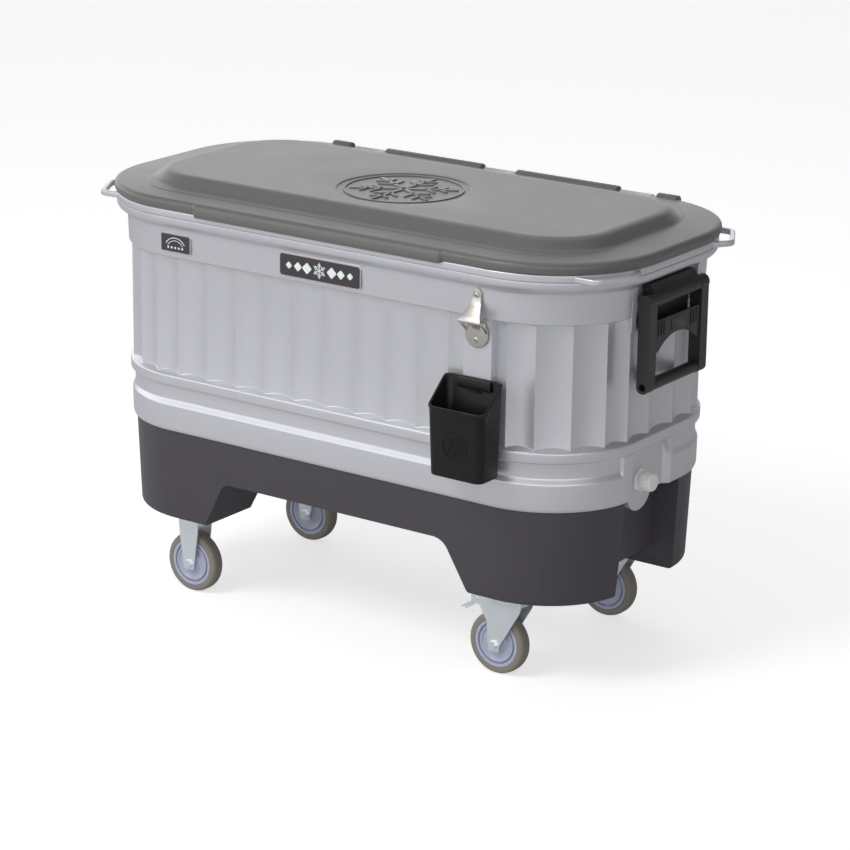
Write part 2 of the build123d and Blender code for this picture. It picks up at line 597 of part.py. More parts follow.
def build_drain():
    """Drain spout with its hex flange, inner nut, washer, cap and cap seal."""
    y, z = DRAIN_Y, DRAIN_Z
    flange = Pos(POCKET_X, y, z) * Rot(0, 90, 0) * extrude(RegularPolygon(21, 6, major_radius=False), 6)
    spout = flange + rod_x(519, 531, y, z, 11.9) + rod_x(531, POCKET_X + 20, y, z, 12.9)
    spout -= rod_x(510, 610, y, z, 9.5)
    nut = Pos(521, y, z) * Rot(0, 90, 0) * extrude(RegularPolygon(15.4, 6, major_radius=False), 9)
    nut -= rod_x(515, 540, y, z, 12.0)
    seal = rod_x(POCKET_X + 20.5, POCKET_X + 22.5, y, z, 13) - rod_x(600, 610, y, z, 5)
    cap = rod_x(POCKET_X + 7, POCKET_X + 33, y, z, 17.5)
    cap = fillet(cap.edges().filter_by(GeomType.CIRCLE).group_by(Axis.X)[-1], 2)
    cap -= rod_x(POCKET_X + 6, POCKET_X + 22.5, y, z, 13.6)
    for i in range(24):
        a = math.radians(15 * i)
        cap += rod_x(POCKET_X + 8, POCKET_X + 29, y + 17.3 * math.cos(a), z + 17.3 * math.sin(a), 1.0)
    return spout, nut, seal, cap


def build_badges():
    """Nameplate and small badge on the collar; plain plates."""
    y = PAD_Y - 0.9
    name = Pos(-4, y, 772) * extrude(Plane.XZ * RectangleRounded(194, 43, 5), 3.5)
    side = Pos(-365, y, 771) * extrude(Plane.XZ * RectangleRounded(76, 38, 4), 2.5)
    return name, side


# ---------------------------------------------------------------- write the nodes
def main():
    """Build every node and write it."""
    shell, void = build_outer_shell()
    liner, liner_envelope = build_liner()
    spout, nut, seal, cap = build_drain()
    passage = rod_x(500, 620, DRAIN_Y, DRAIN_Z, 13.0)
    shell -= passage
    foam = void - liner_envelope - rod_x(515, 600, DRAIN_Y, DRAIN_Z, 13.2)
    base = build_base()
    screws = build_base_screws()
    rim = build_rim()
    name, side = build_badges()
    save("outer_shell", shell)
    save("foam_insulation", foam)
    save("inner_liner", liner)
    save("top_rim", rim)
    save("base_skirt", base)
    save("base_screws", screws)
    lid, pan, core = build_lid()
    save("lid_top", lid)
    save("lid_liner", pan)
    save("lid_foam", core)
    pins = rod_x(2, 428, HINGE_Y, HINGE_Z, PIN_R) + rod_x(-428, -2, HINGE_Y, HINGE_Z, PIN_R)
    save("hinge_pins", pins)
    handle, bracket, pin = build_handle(), build_bracket(), build_handle_pin()
    for word, flip in (("right", False), ("left", True)):
        save(f"handle_{word}", mirror_x(handle) if flip else handle)
        save(f"handle_bracket_{word}", mirror_x(bracket) if flip else bracket)
        save(f"handle_pin_{word}", mirror_x(pin) if flip else pin)
    save("bracket_screws", build_bracket_screws())
    save("bottle_opener", build_opener())
    save("opener_screws", build_opener_screws())
    save("catch_bin", build_bin())
    save("bin_hook", build_bin_hook())
    save("front_nameplate", name)
    save("side_badge", side)
    save("drain_spout", spout)
    save("drain_nut", nut)
    save("drain_seal", seal)
    save("drain_cap", cap)
    save("caster_bolts", build_caster_bolts())
    for cx, cy in caster_places():
        where = ("front" if cy < 0 else "rear") + ("_left" if cx < 0 else "_right")
        ax = cx if cx < 0 else cx - TRAIL
        if cx < 0:
            save(f"caster_fork_{where}", build_rigid_fork(cx, cy))
        else:
            save(f"caster_plate_{where}", build_swivel_plate(cx, cy))
            save(f"caster_yoke_{where}", build_yoke(cx, cy))
            save(f"brake_pedal_{where}", build_pedal(cx, cy))
            save(f"brake_pin_{where}", rod_y(cy - 26, cy + 26, cx - PEDAL_BACK, PEDAL_Z, PEDAL_PIN_R))
        save(f"axle_bolt_{where}", build_axle(ax, cy))
        save(f"tyre_{where}", build_tyre(ax, cy))
        save(f"wheel_hub_{where}", build_hub(ax, cy))
        save(f"wheel_bearing_{where}", build_sleeve(ax, cy))


main()
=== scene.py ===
"""The look of a party cooler on four casters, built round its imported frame.

Metres in Blender; the classes work in millimetres in the cooler's own plan (+X to the drain end,
+Z up, front = -Y) and place() turns their points into the frame.
"""

import json
import logging
import math
from dataclasses import dataclass, field
from enum import Enum
from typing import Callable, Sequence

import bmesh
import bpy
import numpy as np
from mathutils import Matrix, Vector

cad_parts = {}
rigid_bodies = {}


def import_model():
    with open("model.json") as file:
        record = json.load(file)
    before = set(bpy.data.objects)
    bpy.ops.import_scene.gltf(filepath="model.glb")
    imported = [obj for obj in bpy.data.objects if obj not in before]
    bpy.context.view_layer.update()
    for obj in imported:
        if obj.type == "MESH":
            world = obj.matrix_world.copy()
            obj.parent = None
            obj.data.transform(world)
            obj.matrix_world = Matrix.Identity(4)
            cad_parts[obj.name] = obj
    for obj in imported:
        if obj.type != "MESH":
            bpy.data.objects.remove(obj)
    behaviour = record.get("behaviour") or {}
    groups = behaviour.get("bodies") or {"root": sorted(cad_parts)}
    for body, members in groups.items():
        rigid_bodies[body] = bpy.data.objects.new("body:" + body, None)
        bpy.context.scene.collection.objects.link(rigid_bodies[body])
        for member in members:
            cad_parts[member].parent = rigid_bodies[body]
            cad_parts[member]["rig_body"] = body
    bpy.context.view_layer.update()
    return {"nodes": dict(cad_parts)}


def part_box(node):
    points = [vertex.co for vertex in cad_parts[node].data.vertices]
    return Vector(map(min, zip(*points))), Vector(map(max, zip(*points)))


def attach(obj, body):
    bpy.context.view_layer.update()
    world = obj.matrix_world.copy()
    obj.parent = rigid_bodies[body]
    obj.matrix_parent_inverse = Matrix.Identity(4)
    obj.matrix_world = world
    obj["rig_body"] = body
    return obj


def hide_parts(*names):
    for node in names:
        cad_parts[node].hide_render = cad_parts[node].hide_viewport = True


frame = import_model()
LOG = logging.getLogger("cooler")

MM = 0.001
LINER_LOW, LINER_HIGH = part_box("inner_liner")
SHIFT = np.array([0.0, (LINER_LOW.y + LINER_HIGH.y) / 2, 0.0])
Points = np.ndarray
ToSpace = Callable[[np.ndarray, np.ndarray, np.ndarray], np.ndarray]
Bar = tuple[np.ndarray, np.ndarray, float]


class Body(Enum):
    """The bodies that single pieces ride on; each wheel has a body of its own."""

    TUB = "tub"
    LID = "lid"
    BIN = "catch_bin"
    DRAIN_CAP = "drain_cap"


# ---------------------------------------------------------------- surfaces
def place(points: Points) -> Points:
    """Turns millimetres in the cooler's plan into metres in the frame."""
    return points * MM + SHIFT


@dataclass
class Skin:
    """One closed surface: points in millimetres, quads, and the polygons that close its ends."""

    points: Points
    quads: np.ndarray
    caps: list[np.ndarray] = field(default_factory=list)

    def volume(self) -> float:
        """Signed volume: each face's fan of triangles, as one sixth of a . (b x c), summed."""
        fans = [self.quads[:, [0, 1, 2]], self.quads[:, [0, 2, 3]]]
        fans += [np.stack([np.full(len(cap) - 2, cap[0]), cap[1:-1], cap[2:]], -1) for cap in self.caps]
        a, b, c = (self.points[np.concatenate(fans)[:, k]] for k in range(3))
        return float(np.einsum("ij,ij->i", a, np.cross(b, c)).sum() / 6)

    def outward(self) -> "Skin":
        """The same surface with its faces turned outwards."""
        if self.volume() >= 0:
            return self
        return Skin(self.points, self.quads[:, ::-1], [cap[::-1] for cap in self.caps])


def skin_of(rings: Points, wrap_rows: bool = False) -> Skin:
    """Closes a grid of rings into a skin: each row is a closed ring, joined to the next by quads.

    Args:
        rings: points as (rows, columns, 3).
        wrap_rows: joins the last row to the first; otherwise both end rings get a flat cap.

    Returns:
        The skin, with its faces outwards.
    """
    rows, columns = rings.shape[:2]
    i = np.arange(rows if wrap_rows else rows - 1)[:, None]
    j = np.arange(columns)[None, :]
    i_next, j_next = (i + 1) % rows, (j + 1) % columns
    corners = [i * columns + j, i * columns + j_next, i_next * columns + j_next, i_next * columns + j]
    quads = np.stack(np.broadcast_arrays(*corners), -1).reshape(-1, 4)
    ends = [] if wrap_rows else [np.arange(columns)[::-1], (rows - 1) * columns + np.arange(columns)]
    return Skin(rings.reshape(-1, 3), quads, ends).outward()


def soften(levels: np.ndarray, cuts: Sequence[float], steps: int = 3, closed: bool = False) -> np.ndarray:
    """Rounds the corners of a line of points: each corner becomes a quadratic curve between the two
    points that lie its cut away along its legs, (1-t)^2 a + 2t(1-t) corner + t^2 b.

    Args:
        levels: the line, as (points, ..., coordinates).
        cuts: how far back each corner is cut; 0 keeps it sharp.
        steps: spans of each curve.
        closed: whether the last point joins the first.

    Returns:
        The rounded line, with more points along its first axis.
    """
    count = len(levels)
    out: list[np.ndarray] = []
    for k in range(count):
        here = levels[k]
        if cuts[k] == 0 or (not closed and k in (0, count - 1)):
            out.append(here[None])
            continue
        legs = []
        for other in (levels[k - 1], levels[(k + 1) % count]):
            reach = np.maximum(np.linalg.norm(other - here, axis=-1, keepdims=True), 1e-9)
            legs.append(here + (other - here) * np.minimum(0.49, cuts[k] / reach))
        t = np.linspace(0, 1, steps + 1).reshape((-1,) + (1,) * here.ndim)
        out.append((1 - t) ** 2 * legs[0] + 2 * t * (1 - t) * here + t**2 * legs[1])
    return np.concatenate(out)


def inset(outline: np.ndarray, distance: float) -> np.ndarray:
    """Moves a closed anticlockwise outline inwards along the mean normal of each point's two edges.

    Args:
        outline: (n, 2) points.
        distance: how far; a negative distance moves it outwards.

    Returns:
        The moved outline.
    """
    edge = np.roll(outline, -1, 0) - outline
    normal = np.stack([edge[:, 1], -edge[:, 0]], -1)
    normal /= np.maximum(np.linalg.norm(normal, axis=1, keepdims=True), 1e-9)
    mean = normal + np.roll(normal, 1, 0)
    mean /= np.maximum((mean * normal).sum(1, keepdims=True), 0.3)
    return outline - mean * distance


def rounded_box(half_a: float, half_b: float, radius: float, steps: int = 6) -> np.ndarray:
    """Anticlockwise rounded rectangle: four quarter circles about its corner centres.

    Args:
        half_a: half its size along the first axis.
        half_b: half its size along the second axis.
        radius: radius of its corners.
        steps: spans of each corner.

    Returns:
        (4 * (steps + 1), 2) points.
    """
    turn = np.linspace(0, math.pi / 2, steps + 1)
    signs = ((1, 1), (-1, 1), (-1, -1), (1, -1))
    arcs = []
    for k, (sa, sb) in enumerate(signs):
        a = turn + k * math.pi / 2
        centre = np.array([sa * (half_a - radius), sb * (half_b - radius)])
        arcs.append(centre + radius * np.stack([np.cos(a), np.sin(a)], -1))
    return np.concatenate(arcs)


def circle(radius: float, count: int, centre: tuple[float, float] = (0, 0)) -> np.ndarray:
    """Anticlockwise circle of evenly spaced points."""
    a = np.linspace(0, 2 * math.pi, count, endpoint=False)
    return np.stack([centre[0] + radius * np.cos(a), centre[1] + radius * np.sin(a)], -1)


def relief(outline: np.ndarray, heights: Sequence[tuple[float, float]], to_space: ToSpace) -> Skin:
    """Plate over an outline: one ring for each (inset, height), with the ends closed.

    Args:
        outline: anticlockwise points (a, b).
        heights: pairs of inset and height, from the bottom to the top.
        to_space: turns arrays (a, b, height) into points.

    Returns:
        The closed plate.
    """
    rings = []
    for cut, height in heights:
        flat = inset(outline, cut)
        rings.append(to_space(flat[:, 0], flat[:, 1], np.full(len(flat), height)))
    return skin_of(np.stack(rings))


def band_relief(outline: np.ndarray, width: float, low: float, high: float, to_space: ToSpace) -> Skin:
    """Raised line along an outline: four rings, two outside and two a width further in, joined round.

    Args:
        outline: anticlockwise points (a, b).
        width: width of the line.
        low: height of its foot.
        high: height of its top.
        to_space: turns arrays (a, b, height) into points.

    Returns:
        The closed ring.
    """
    inner = inset(outline, width)
    rows = [(outline, low), (outline, high), (inner, high), (inner, low)]
    rings = [to_space(flat[:, 0], flat[:, 1], np.full(len(flat), height)) for flat, height in rows]
    return skin_of(np.stack(rings), wrap_rows=True)


def stadium(start: np.ndarray, end: np.ndarray, width: float, steps: int = 6) -> np.ndarray:
    """Anticlockwise outline of a bar with round ends.

    Args:
        start: centre of the first round end.
        end: centre of the second round end.
        width: the bar's width.
        steps: spans of each end.

    Returns:
        (2 * (steps + 1), 2) points.
    """
    along = (end - start) / np.linalg.norm(end - start)
    side = np.array([-along[1], along[0]])
    a = np.linspace(-math.pi / 2, math.pi / 2, steps + 1)[:, None]
    front = end + width / 2 * (np.cos(a) * along + np.sin(a) * side)
    back = start - width / 2 * (np.cos(a) * along + np.sin(a) * side)
    return np.concatenate([front, back])


def lathe(profile: np.ndarray, count: int, to_space: ToSpace, ribs: int = 0, depth: float = 0.0,
          closed: bool = True) -> Skin:
    """Turns a profile about an axis: ring k has radius profile[k, 0] at the place profile[k, 1] along it.

    Args:
        profile: (radius, along) points.
        count: points of each ring.
        to_space: turns (radius * cos, radius * sin, along) arrays into points.
        ribs: how many ribs stand on the rings; each adds depth times the cosine's positive part.
        depth: height of the ribs, scaled by profile[k, 2] where the profile has that column.
        closed: whether the profile is a closed loop; otherwise its ends are capped.

    Returns:
        The closed skin.
    """
    a = np.linspace(0, 2 * math.pi, count, endpoint=False)[None, :]
    share = profile[:, 2:3] if profile.shape[1] > 2 else np.zeros((len(profile), 1))
    radius = profile[:, :1] + depth * share * np.maximum(np.cos(ribs * a), 0) ** 0.5
    along = np.broadcast_to(profile[:, 1:2], radius.shape)
    return skin_of(to_space(radius * np.cos(a), radius * np.sin(a), along), wrap_rows=closed)


def sweep(path: Points, section: np.ndarray, up: Points, closed: bool = False) -> Skin:
    """Carries a section along a path: point = path + a * side + b * up, where side = tangent x up.

    Args:
        path: (n, 3) points.
        section: (m, 2) closed outline.
        up: one direction, or one for each path point.
        closed: whether the path is a loop.

    Returns:
        The closed skin.
    """
    tangent = np.gradient(path, axis=0)
    if closed:
        tangent = np.roll(path, -1, 0) - np.roll(path, 1, 0)
    side = np.cross(tangent, up)
    side /= np.linalg.norm(side, axis=1, keepdims=True)
    ups = np.broadcast_to(up, path.shape)
    rings = path[:, None] + section[None, :, :1] * side[:, None] + section[None, :, 1:] * ups[:, None]
    return skin_of(rings, wrap_rows=closed)


def bar_along(section: np.ndarray, start: float, end: float, edge: float, to_space: ToSpace) -> Skin:
    """Prism with rounded ends: the section drawn in by its edge radius at both ends, over three rings.

    Args:
        section: anticlockwise outline.
        start: where the prism begins along its axis.
        end: where it ends.
        edge: radius of its edges.
        to_space: turns arrays (a, b, height) into points.

    Returns:
        The closed bar.
    """
    sign = 1 if end > start else -1
    heights = [(edge, start), (edge * 0.3, start + sign * edge * 0.3), (0, start + sign * edge)]
    heights += [(0, end - sign * edge), (edge * 0.3, end - sign * edge * 0.3), (edge, end)]
    return relief(section, heights, to_space)


def along_x(a: np.ndarray, b: np.ndarray, h: np.ndarray) -> Points:
    """Section (a, b) lies in Y and Z; height runs along X."""
    return np.stack([h, a, b], -1)


def along_y(a: np.ndarray, b: np.ndarray, h: np.ndarray) -> Points:
    """Section (a, b) lies in X and Z; height runs towards the front, -Y."""
    return np.stack([a, -h, b], -1)


def along_z(a: np.ndarray, b: np.ndarray, h: np.ndarray) -> Points:
    """Section (a, b) lies in X and Y; height runs along Z."""
    return np.stack([a, b, h], -1)


def snowflake(radius: float, centre: tuple[float, float] = (0, 0)) -> list[Bar]:
    """Bars of a six-armed snowflake: each arm has two pairs of branches, turned 55 degrees from it.

    Args:
        radius: length of an arm.
        centre: middle of the snowflake.

    Returns:
        Each bar's start, end and width.
    """
    middle = np.array(centre, float)
    bars = []
    for k in range(6):
        a = math.radians(90 + 60 * k)
        arm = np.array([math.cos(a), math.sin(a)])
        bars.append((middle, middle + radius * arm, 0.085 * radius))
        for start, length in ((0.42, 0.30), (0.68, 0.22)):
            root = middle + radius * start * arm
            for turn in (math.radians(55), math.radians(-55)):
                branch = np.array([math.cos(a + turn), math.sin(a + turn)])
                bars.append((root, root + radius * length * branch, 0.07 * radius))
    return bars


# ---------------------------------------------------------------- finishes
def new_group(name: str, inputs: dict[str, tuple[str, object]],
              outputs: dict[str, str]) -> bpy.types.NodeTree:
    """Makes an empty shader node group.

    Args:
        name: the group's name.
        inputs: each input's name with its socket type and default.
        outputs: each output's name with its socket type.

    Returns:
        The group.
    """
    group = bpy.data.node_groups.new(name, "ShaderNodeTree")
    for word, (kind, default) in inputs.items():
        socket = group.interface.new_socket(word, in_out="INPUT", socket_type=kind)
        socket.default_value = default
    for word, kind in outputs.items():
        group.interface.new_socket(word, in_out="OUTPUT", socket_type=kind)
    group.nodes.new("NodeGroupInput").name = "in"
    group.nodes.new("NodeGroupOutput").name = "out"
    return group


def moulded_grain_group() -> bpy.types.NodeTree:
    """Fine mould texture: small noise as bump, and slow noise that varies the roughness."""
    group = new_group(
        "moulded_grain",
        {"Scale": ("NodeSocketFloat", 900.0), "Height": ("NodeSocketFloat", 0.1),
         "Roughness": ("NodeSocketFloat", 0.5), "Spread": ("NodeSocketFloat", 0.1)},
        {"Normal": "NodeSocketVector", "Roughness": "NodeSocketFloat", "Value": "NodeSocketFloat"},
    )
    nodes, links = group.nodes, group.links
    here = nodes.new("ShaderNodeTexCoord")
    fine = nodes.new("ShaderNodeTexNoise")
    fine.inputs["Detail"].default_value = 3.0
    slow = nodes.new("ShaderNodeTexNoise")
    slow.inputs["Scale"].default_value = 9.0
    slow.inputs["Detail"].default_value = 4.0
    bump = nodes.new("ShaderNodeBump")
    bump.inputs["Distance"].default_value = 0.0004
    shift = nodes.new("ShaderNodeMath")
    shift.operation = "SUBTRACT"
    shift.inputs[1].default_value = 0.5
    spread = nodes.new("ShaderNodeMath")
    spread.operation = "MULTIPLY_ADD"
    links.new(here.outputs["Object"], fine.inputs["Vector"])
    links.new(here.outputs["Object"], slow.inputs["Vector"])
    links.new(nodes["in"].outputs["Scale"], fine.inputs["Scale"])
    links.new(nodes["in"].outputs["Height"], bump.inputs["Strength"])
    links.new(fine.outputs["Fac"], bump.inputs["Height"])
    links.new(slow.outputs["Fac"], shift.inputs[0])
    links.new(shift.outputs[0], spread.inputs[0])
    links.new(nodes["in"].outputs["Spread"], spread.inputs[1])
    links.new(nodes["in"].outputs["Roughness"], spread.inputs[2])
    links.new(bump.outputs["Normal"], nodes["out"].inputs["Normal"])
    links.new(spread.outputs[0], nodes["out"].inputs["Roughness"])
    links.new(fine.outputs["Fac"], nodes["out"].inputs["Value"])
    return group


def tone_group() -> bpy.types.NodeTree:
    """Colour that drifts a little over the surface and pales on sharp convex edges: partly painted edge
    highlight, partly rubbed wear.
    """
    group = new_group(
        "tone_edge_sheen_and_rub",
        {"Color": ("NodeSocketColor", (0.5, 0.5, 0.5, 1)), "Drift": ("NodeSocketFloat", 0.05),
         "EdgeSheenAndRub": ("NodeSocketFloat", 0.1), "Fleck": ("NodeSocketFloat", 0.0)},
        {"Color": "NodeSocketColor"},
    )
    nodes, links = group.nodes, group.links
    here = nodes.new("ShaderNodeTexCoord")
    slow = nodes.new("ShaderNodeTexNoise")
    slow.inputs["Scale"].default_value = 4.0
    fleck = nodes.new("ShaderNodeTexNoise")
    fleck.inputs["Scale"].default_value = 1400.0
    geometry = nodes.new("ShaderNodeNewGeometry")
    # Pointiness marks convex edges; paling them paints an edge highlight as well as rubbed wear.
    edge = nodes.new("ShaderNodeMapRange")
    edge.inputs["From Min"].default_value = 0.52
    edge.inputs["From Max"].default_value = 0.62
    links.new(here.outputs["Object"], slow.inputs["Vector"])
    links.new(here.outputs["Object"], fleck.inputs["Vector"])
    links.new(geometry.outputs["Pointiness"], edge.inputs["Value"])
    total = None
    for source, word, offset in ((slow.outputs["Fac"], "Drift", 0.5), (fleck.outputs["Fac"], "Fleck", 0.5),
                                 (edge.outputs["Result"], "EdgeSheenAndRub", 0.0)):
        centred = nodes.new("ShaderNodeMath")
        centred.operation = "SUBTRACT"
        centred.inputs[1].default_value = offset
        scaled = nodes.new("ShaderNodeMath")
        scaled.operation = "MULTIPLY_ADD"
        links.new(source, centred.inputs[0])
        links.new(centred.outputs[0], scaled.inputs[0])
        links.new(nodes["in"].outputs[word], scaled.inputs[1])
        if total is None:
            scaled.inputs[2].default_value = 1.0
        else:
            links.new(total, scaled.inputs[2])
        total = scaled.outputs[0]
    tint = nodes.new("ShaderNodeVectorMath")
    tint.operation = "SCALE"
    links.new(nodes["in"].outputs["Color"], tint.inputs[0])
    links.new(total, tint.inputs["Scale"])
    links.new(tint.outputs[0], nodes["out"].inputs["Color"])
    return group


@dataclass(frozen=True)
class Finish:
    """One finish of the cooler: colour, gloss and the size of its grain."""

    name: str
    color: tuple[float, float, float]
    roughness: float
    metallic: float = 0.0
    grain: float = 900.0
    height: float = 0.12
    spread: float = 0.08
    drift: float = 0.05
    # pales convex edges: partly painted edge highlight, partly rubbed wear
    edge_sheen_and_rub: float = 0.0
    fleck: float = 0.0
    coat: float = 0.0
    specular: float = 0.5

    def build(self) -> bpy.types.Material:
        """The finish as a node material, made once."""
        if self.name in bpy.data.materials:
            return bpy.data.materials[self.name]
        material = bpy.data.materials.new(self.name)
        material.use_nodes = True
        nodes, links = material.node_tree.nodes, material.node_tree.links
        shader = nodes["Principled BSDF"]
        shader.inputs["Metallic"].default_value = self.metallic
        shader.inputs["Specular IOR Level"].default_value = self.specular
        shader.inputs["Coat Weight"].default_value = self.coat
        shader.inputs["Coat Roughness"].default_value = 0.15
        tone = nodes.new("ShaderNodeGroup")
        tone.node_tree = GROUPS["tone"]
        tone.inputs["Color"].default_value = (*self.color, 1)
        tone.inputs["Drift"].default_value = self.drift
        tone.inputs["EdgeSheenAndRub"].default_value = self.edge_sheen_and_rub
        tone.inputs["Fleck"].default_value = self.fleck
        grain = nodes.new("ShaderNodeGroup")
        grain.node_tree = GROUPS["grain"]
        grain.inputs["Scale"].default_value = self.grain
        grain.inputs["Height"].default_value = self.height
        grain.inputs["Roughness"].default_value = self.roughness
        grain.inputs["Spread"].default_value = self.spread
        links.new(tone.outputs["Color"], shader.inputs["Base Color"])
        links.new(grain.outputs["Roughness"], shader.inputs["Roughness"])
        links.new(grain.outputs["Normal"], shader.inputs["Normal"])
        return material


GROUPS = {"grain": moulded_grain_group(), "tone": tone_group()}
SILVER = Finish("silver_shell", (0.66, 0.665, 0.705), 0.32, metallic=0.6, grain=1600, height=0.10, fleck=0.35)
LID_GREY = Finish("lid_grey_grained", (0.14, 0.14, 0.137), 0.36, grain=1300, height=0.12, drift=0.04)
CHARCOAL = Finish("base_charcoal_grained", (0.055, 0.050, 0.060), 0.45, grain=1100, height=0.2, edge_sheen_and_rub=0.3)
BLACK = Finish("black_satin", (0.008, 0.0075, 0.008), 0.36, grain=1000, height=0.15, edge_sheen_and_rub=0.6, specular=0.28)
HANDLE_BLACK = Finish("handle_black_satin", (0.018, 0.017, 0.018), 0.36, grain=1000, height=0.15, edge_sheen_and_rub=0.6)
LINER_WHITE = Finish("liner_white", (0.82, 0.83, 0.83), 0.22, grain=60, height=0.05, drift=0.02)
PAN_WHITE = Finish("lid_pan_white", (0.80, 0.81, 0.81), 0.3, grain=70, height=0.06, drift=0.02)
FOAM = Finish("rigid_foam", (0.82, 0.74, 0.48), 0.85, grain=500, height=0.6, fleck=0.3)
NICKEL = Finish("cast_nickel", (0.55, 0.53, 0.49), 0.34, metallic=1.0, grain=700, height=0.35, edge_sheen_and_rub=0.5)
SCREW = Finish("screw_steel", (0.62, 0.62, 0.62), 0.25, metallic=1.0, grain=900, height=0.1)
DRAIN_WHITE = Finish("drain_white", (0.80, 0.80, 0.78), 0.42, grain=900, height=0.1)
# Black rubber for the drain seal; also painted shade on the opener's screw slots.
RUBBER_AND_SLOT_SHADE = Finish("seal_rubber", (0.03, 0.03, 0.03), 0.7, grain=800, height=0.3)
ZINC = Finish("bright_zinc", (0.84, 0.89, 0.93), 0.24, metallic=0.75, grain=260, height=0.12, drift=0.10,
              fleck=0.1)
TYRE = Finish("tyre_grey", (0.26, 0.245, 0.225), 0.5, grain=700, height=0.25, drift=0.12)
HUB = Finish("hub_lavender", (0.52, 0.60, 0.76), 0.36, grain=900, height=0.1)
BEARING = Finish("bearing_steel", (0.6, 0.6, 0.6), 0.3, metallic=1.0, grain=500, height=0.1)
BADGE_FACE = Finish("badge_charcoal", (0.040, 0.042, 0.046), 0.35, grain=900, height=0.1, drift=0.03)
BADGE_RED = Finish("badge_red", (0.16, 0.008, 0.014), 0.3, grain=900, height=0.05)
BADGE_WHITE = Finish("badge_white", (0.85, 0.85, 0.85), 0.35, grain=900, height=0.05)
BADGE_CHROME = Finish("badge_chrome", (0.75, 0.75, 0.76), 0.12, metallic=1.0, grain=900, height=0.03)


# ---------------------------------------------------------------- pieces
def make_piece(name: str, skins: Sequence[Skin], finish: Finish, body: str,
               replaces: Sequence[str] = (), crease: float = 34.0) -> bpy.types.Object:
    """Joins skins into one object, shades it, and puts it on its body.

    Args:
        name: the piece's name.
        skins: closed surfaces in millimetres.
        finish: what it is made of.
        body: the body it rides on.
        replaces: CAD nodes it stands for.
        crease: edges sharper than this many degrees stay sharp.

    Returns:
        The object.
    """
    points, faces, start = [], [], 0
    for skin in skins:
        points.append(place(skin.points))
        faces += (skin.quads + start).tolist()
        faces += [(cap + start).tolist() for cap in skin.caps]
        start += len(skin.points)
    mesh = bpy.data.meshes.new(name)
    mesh.from_pydata(np.concatenate(points).tolist(), [], faces)
    mesh.shade_smooth()
    mesh.set_sharp_from_angle(angle=math.radians(crease))
    mesh.materials.append(finish.build())
    piece = bpy.data.objects.new(name, mesh)
    bpy.context.scene.collection.objects.link(piece)
    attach(piece, body)
    if replaces:
        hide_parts(*replaces)
    LOG.info("%s: %d faces", name, len(faces))
    return piece


def dress_node(node: str, finish: Finish) -> None:
    """Gives a CAD node its finish.

    Args:
        node: the CAD node.
        finish: what it is made of.
    """
    slots = frame["nodes"][node].material_slots
    if not slots:
        frame["nodes"][node].data.materials.append(finish.build())
    for slot in slots:
        slot.material = finish.build()


def soften_node(node: str, finish: Finish, width: float, segments: int = 2,
                crease: float = 40.0) -> bpy.types.Object:
    """Stands a bevelled copy for a CAD node: its triangles merged and its flat faces joined first.

    Args:
        node: the CAD node.
        finish: what it is made of.
        width: the bevel's width in millimetres.
        segments: how many spans round each edge.
        crease: edges sharper than this many degrees are bevelled.

    Returns:
        The copy.
    """
    source = frame["nodes"][node]
    mesh = source.data.copy()
    mesh.name = f"{node}_soft"
    work = bmesh.new()
    work.from_mesh(mesh)
    bmesh.ops.remove_doubles(work, verts=work.verts, dist=0.5e-5)
    bmesh.ops.dissolve_limit(work, angle_limit=math.radians(1.0), verts=work.verts, edges=work.edges)
    work.to_mesh(mesh)
    work.free()
    mesh.materials.clear()
    mesh.materials.append(finish.build())
    mesh.shade_smooth()
    mesh.set_sharp_from_angle(angle=math.radians(crease))
    piece = bpy.data.objects.new(f"{node}_soft", mesh)
    bpy.context.scene.collection.objects.link(piece)
    bevel = piece.modifiers.new("edges", "BEVEL")
    bevel.width = width * MM
    bevel.segments = segments
    bevel.limit_method = "ANGLE"
    bevel.angle_limit = math.radians(crease)
    bevel.use_clamp_overlap = True
    bevel.harden_normals = False
    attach(piece, source["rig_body"])
    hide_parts(node)
    return piece


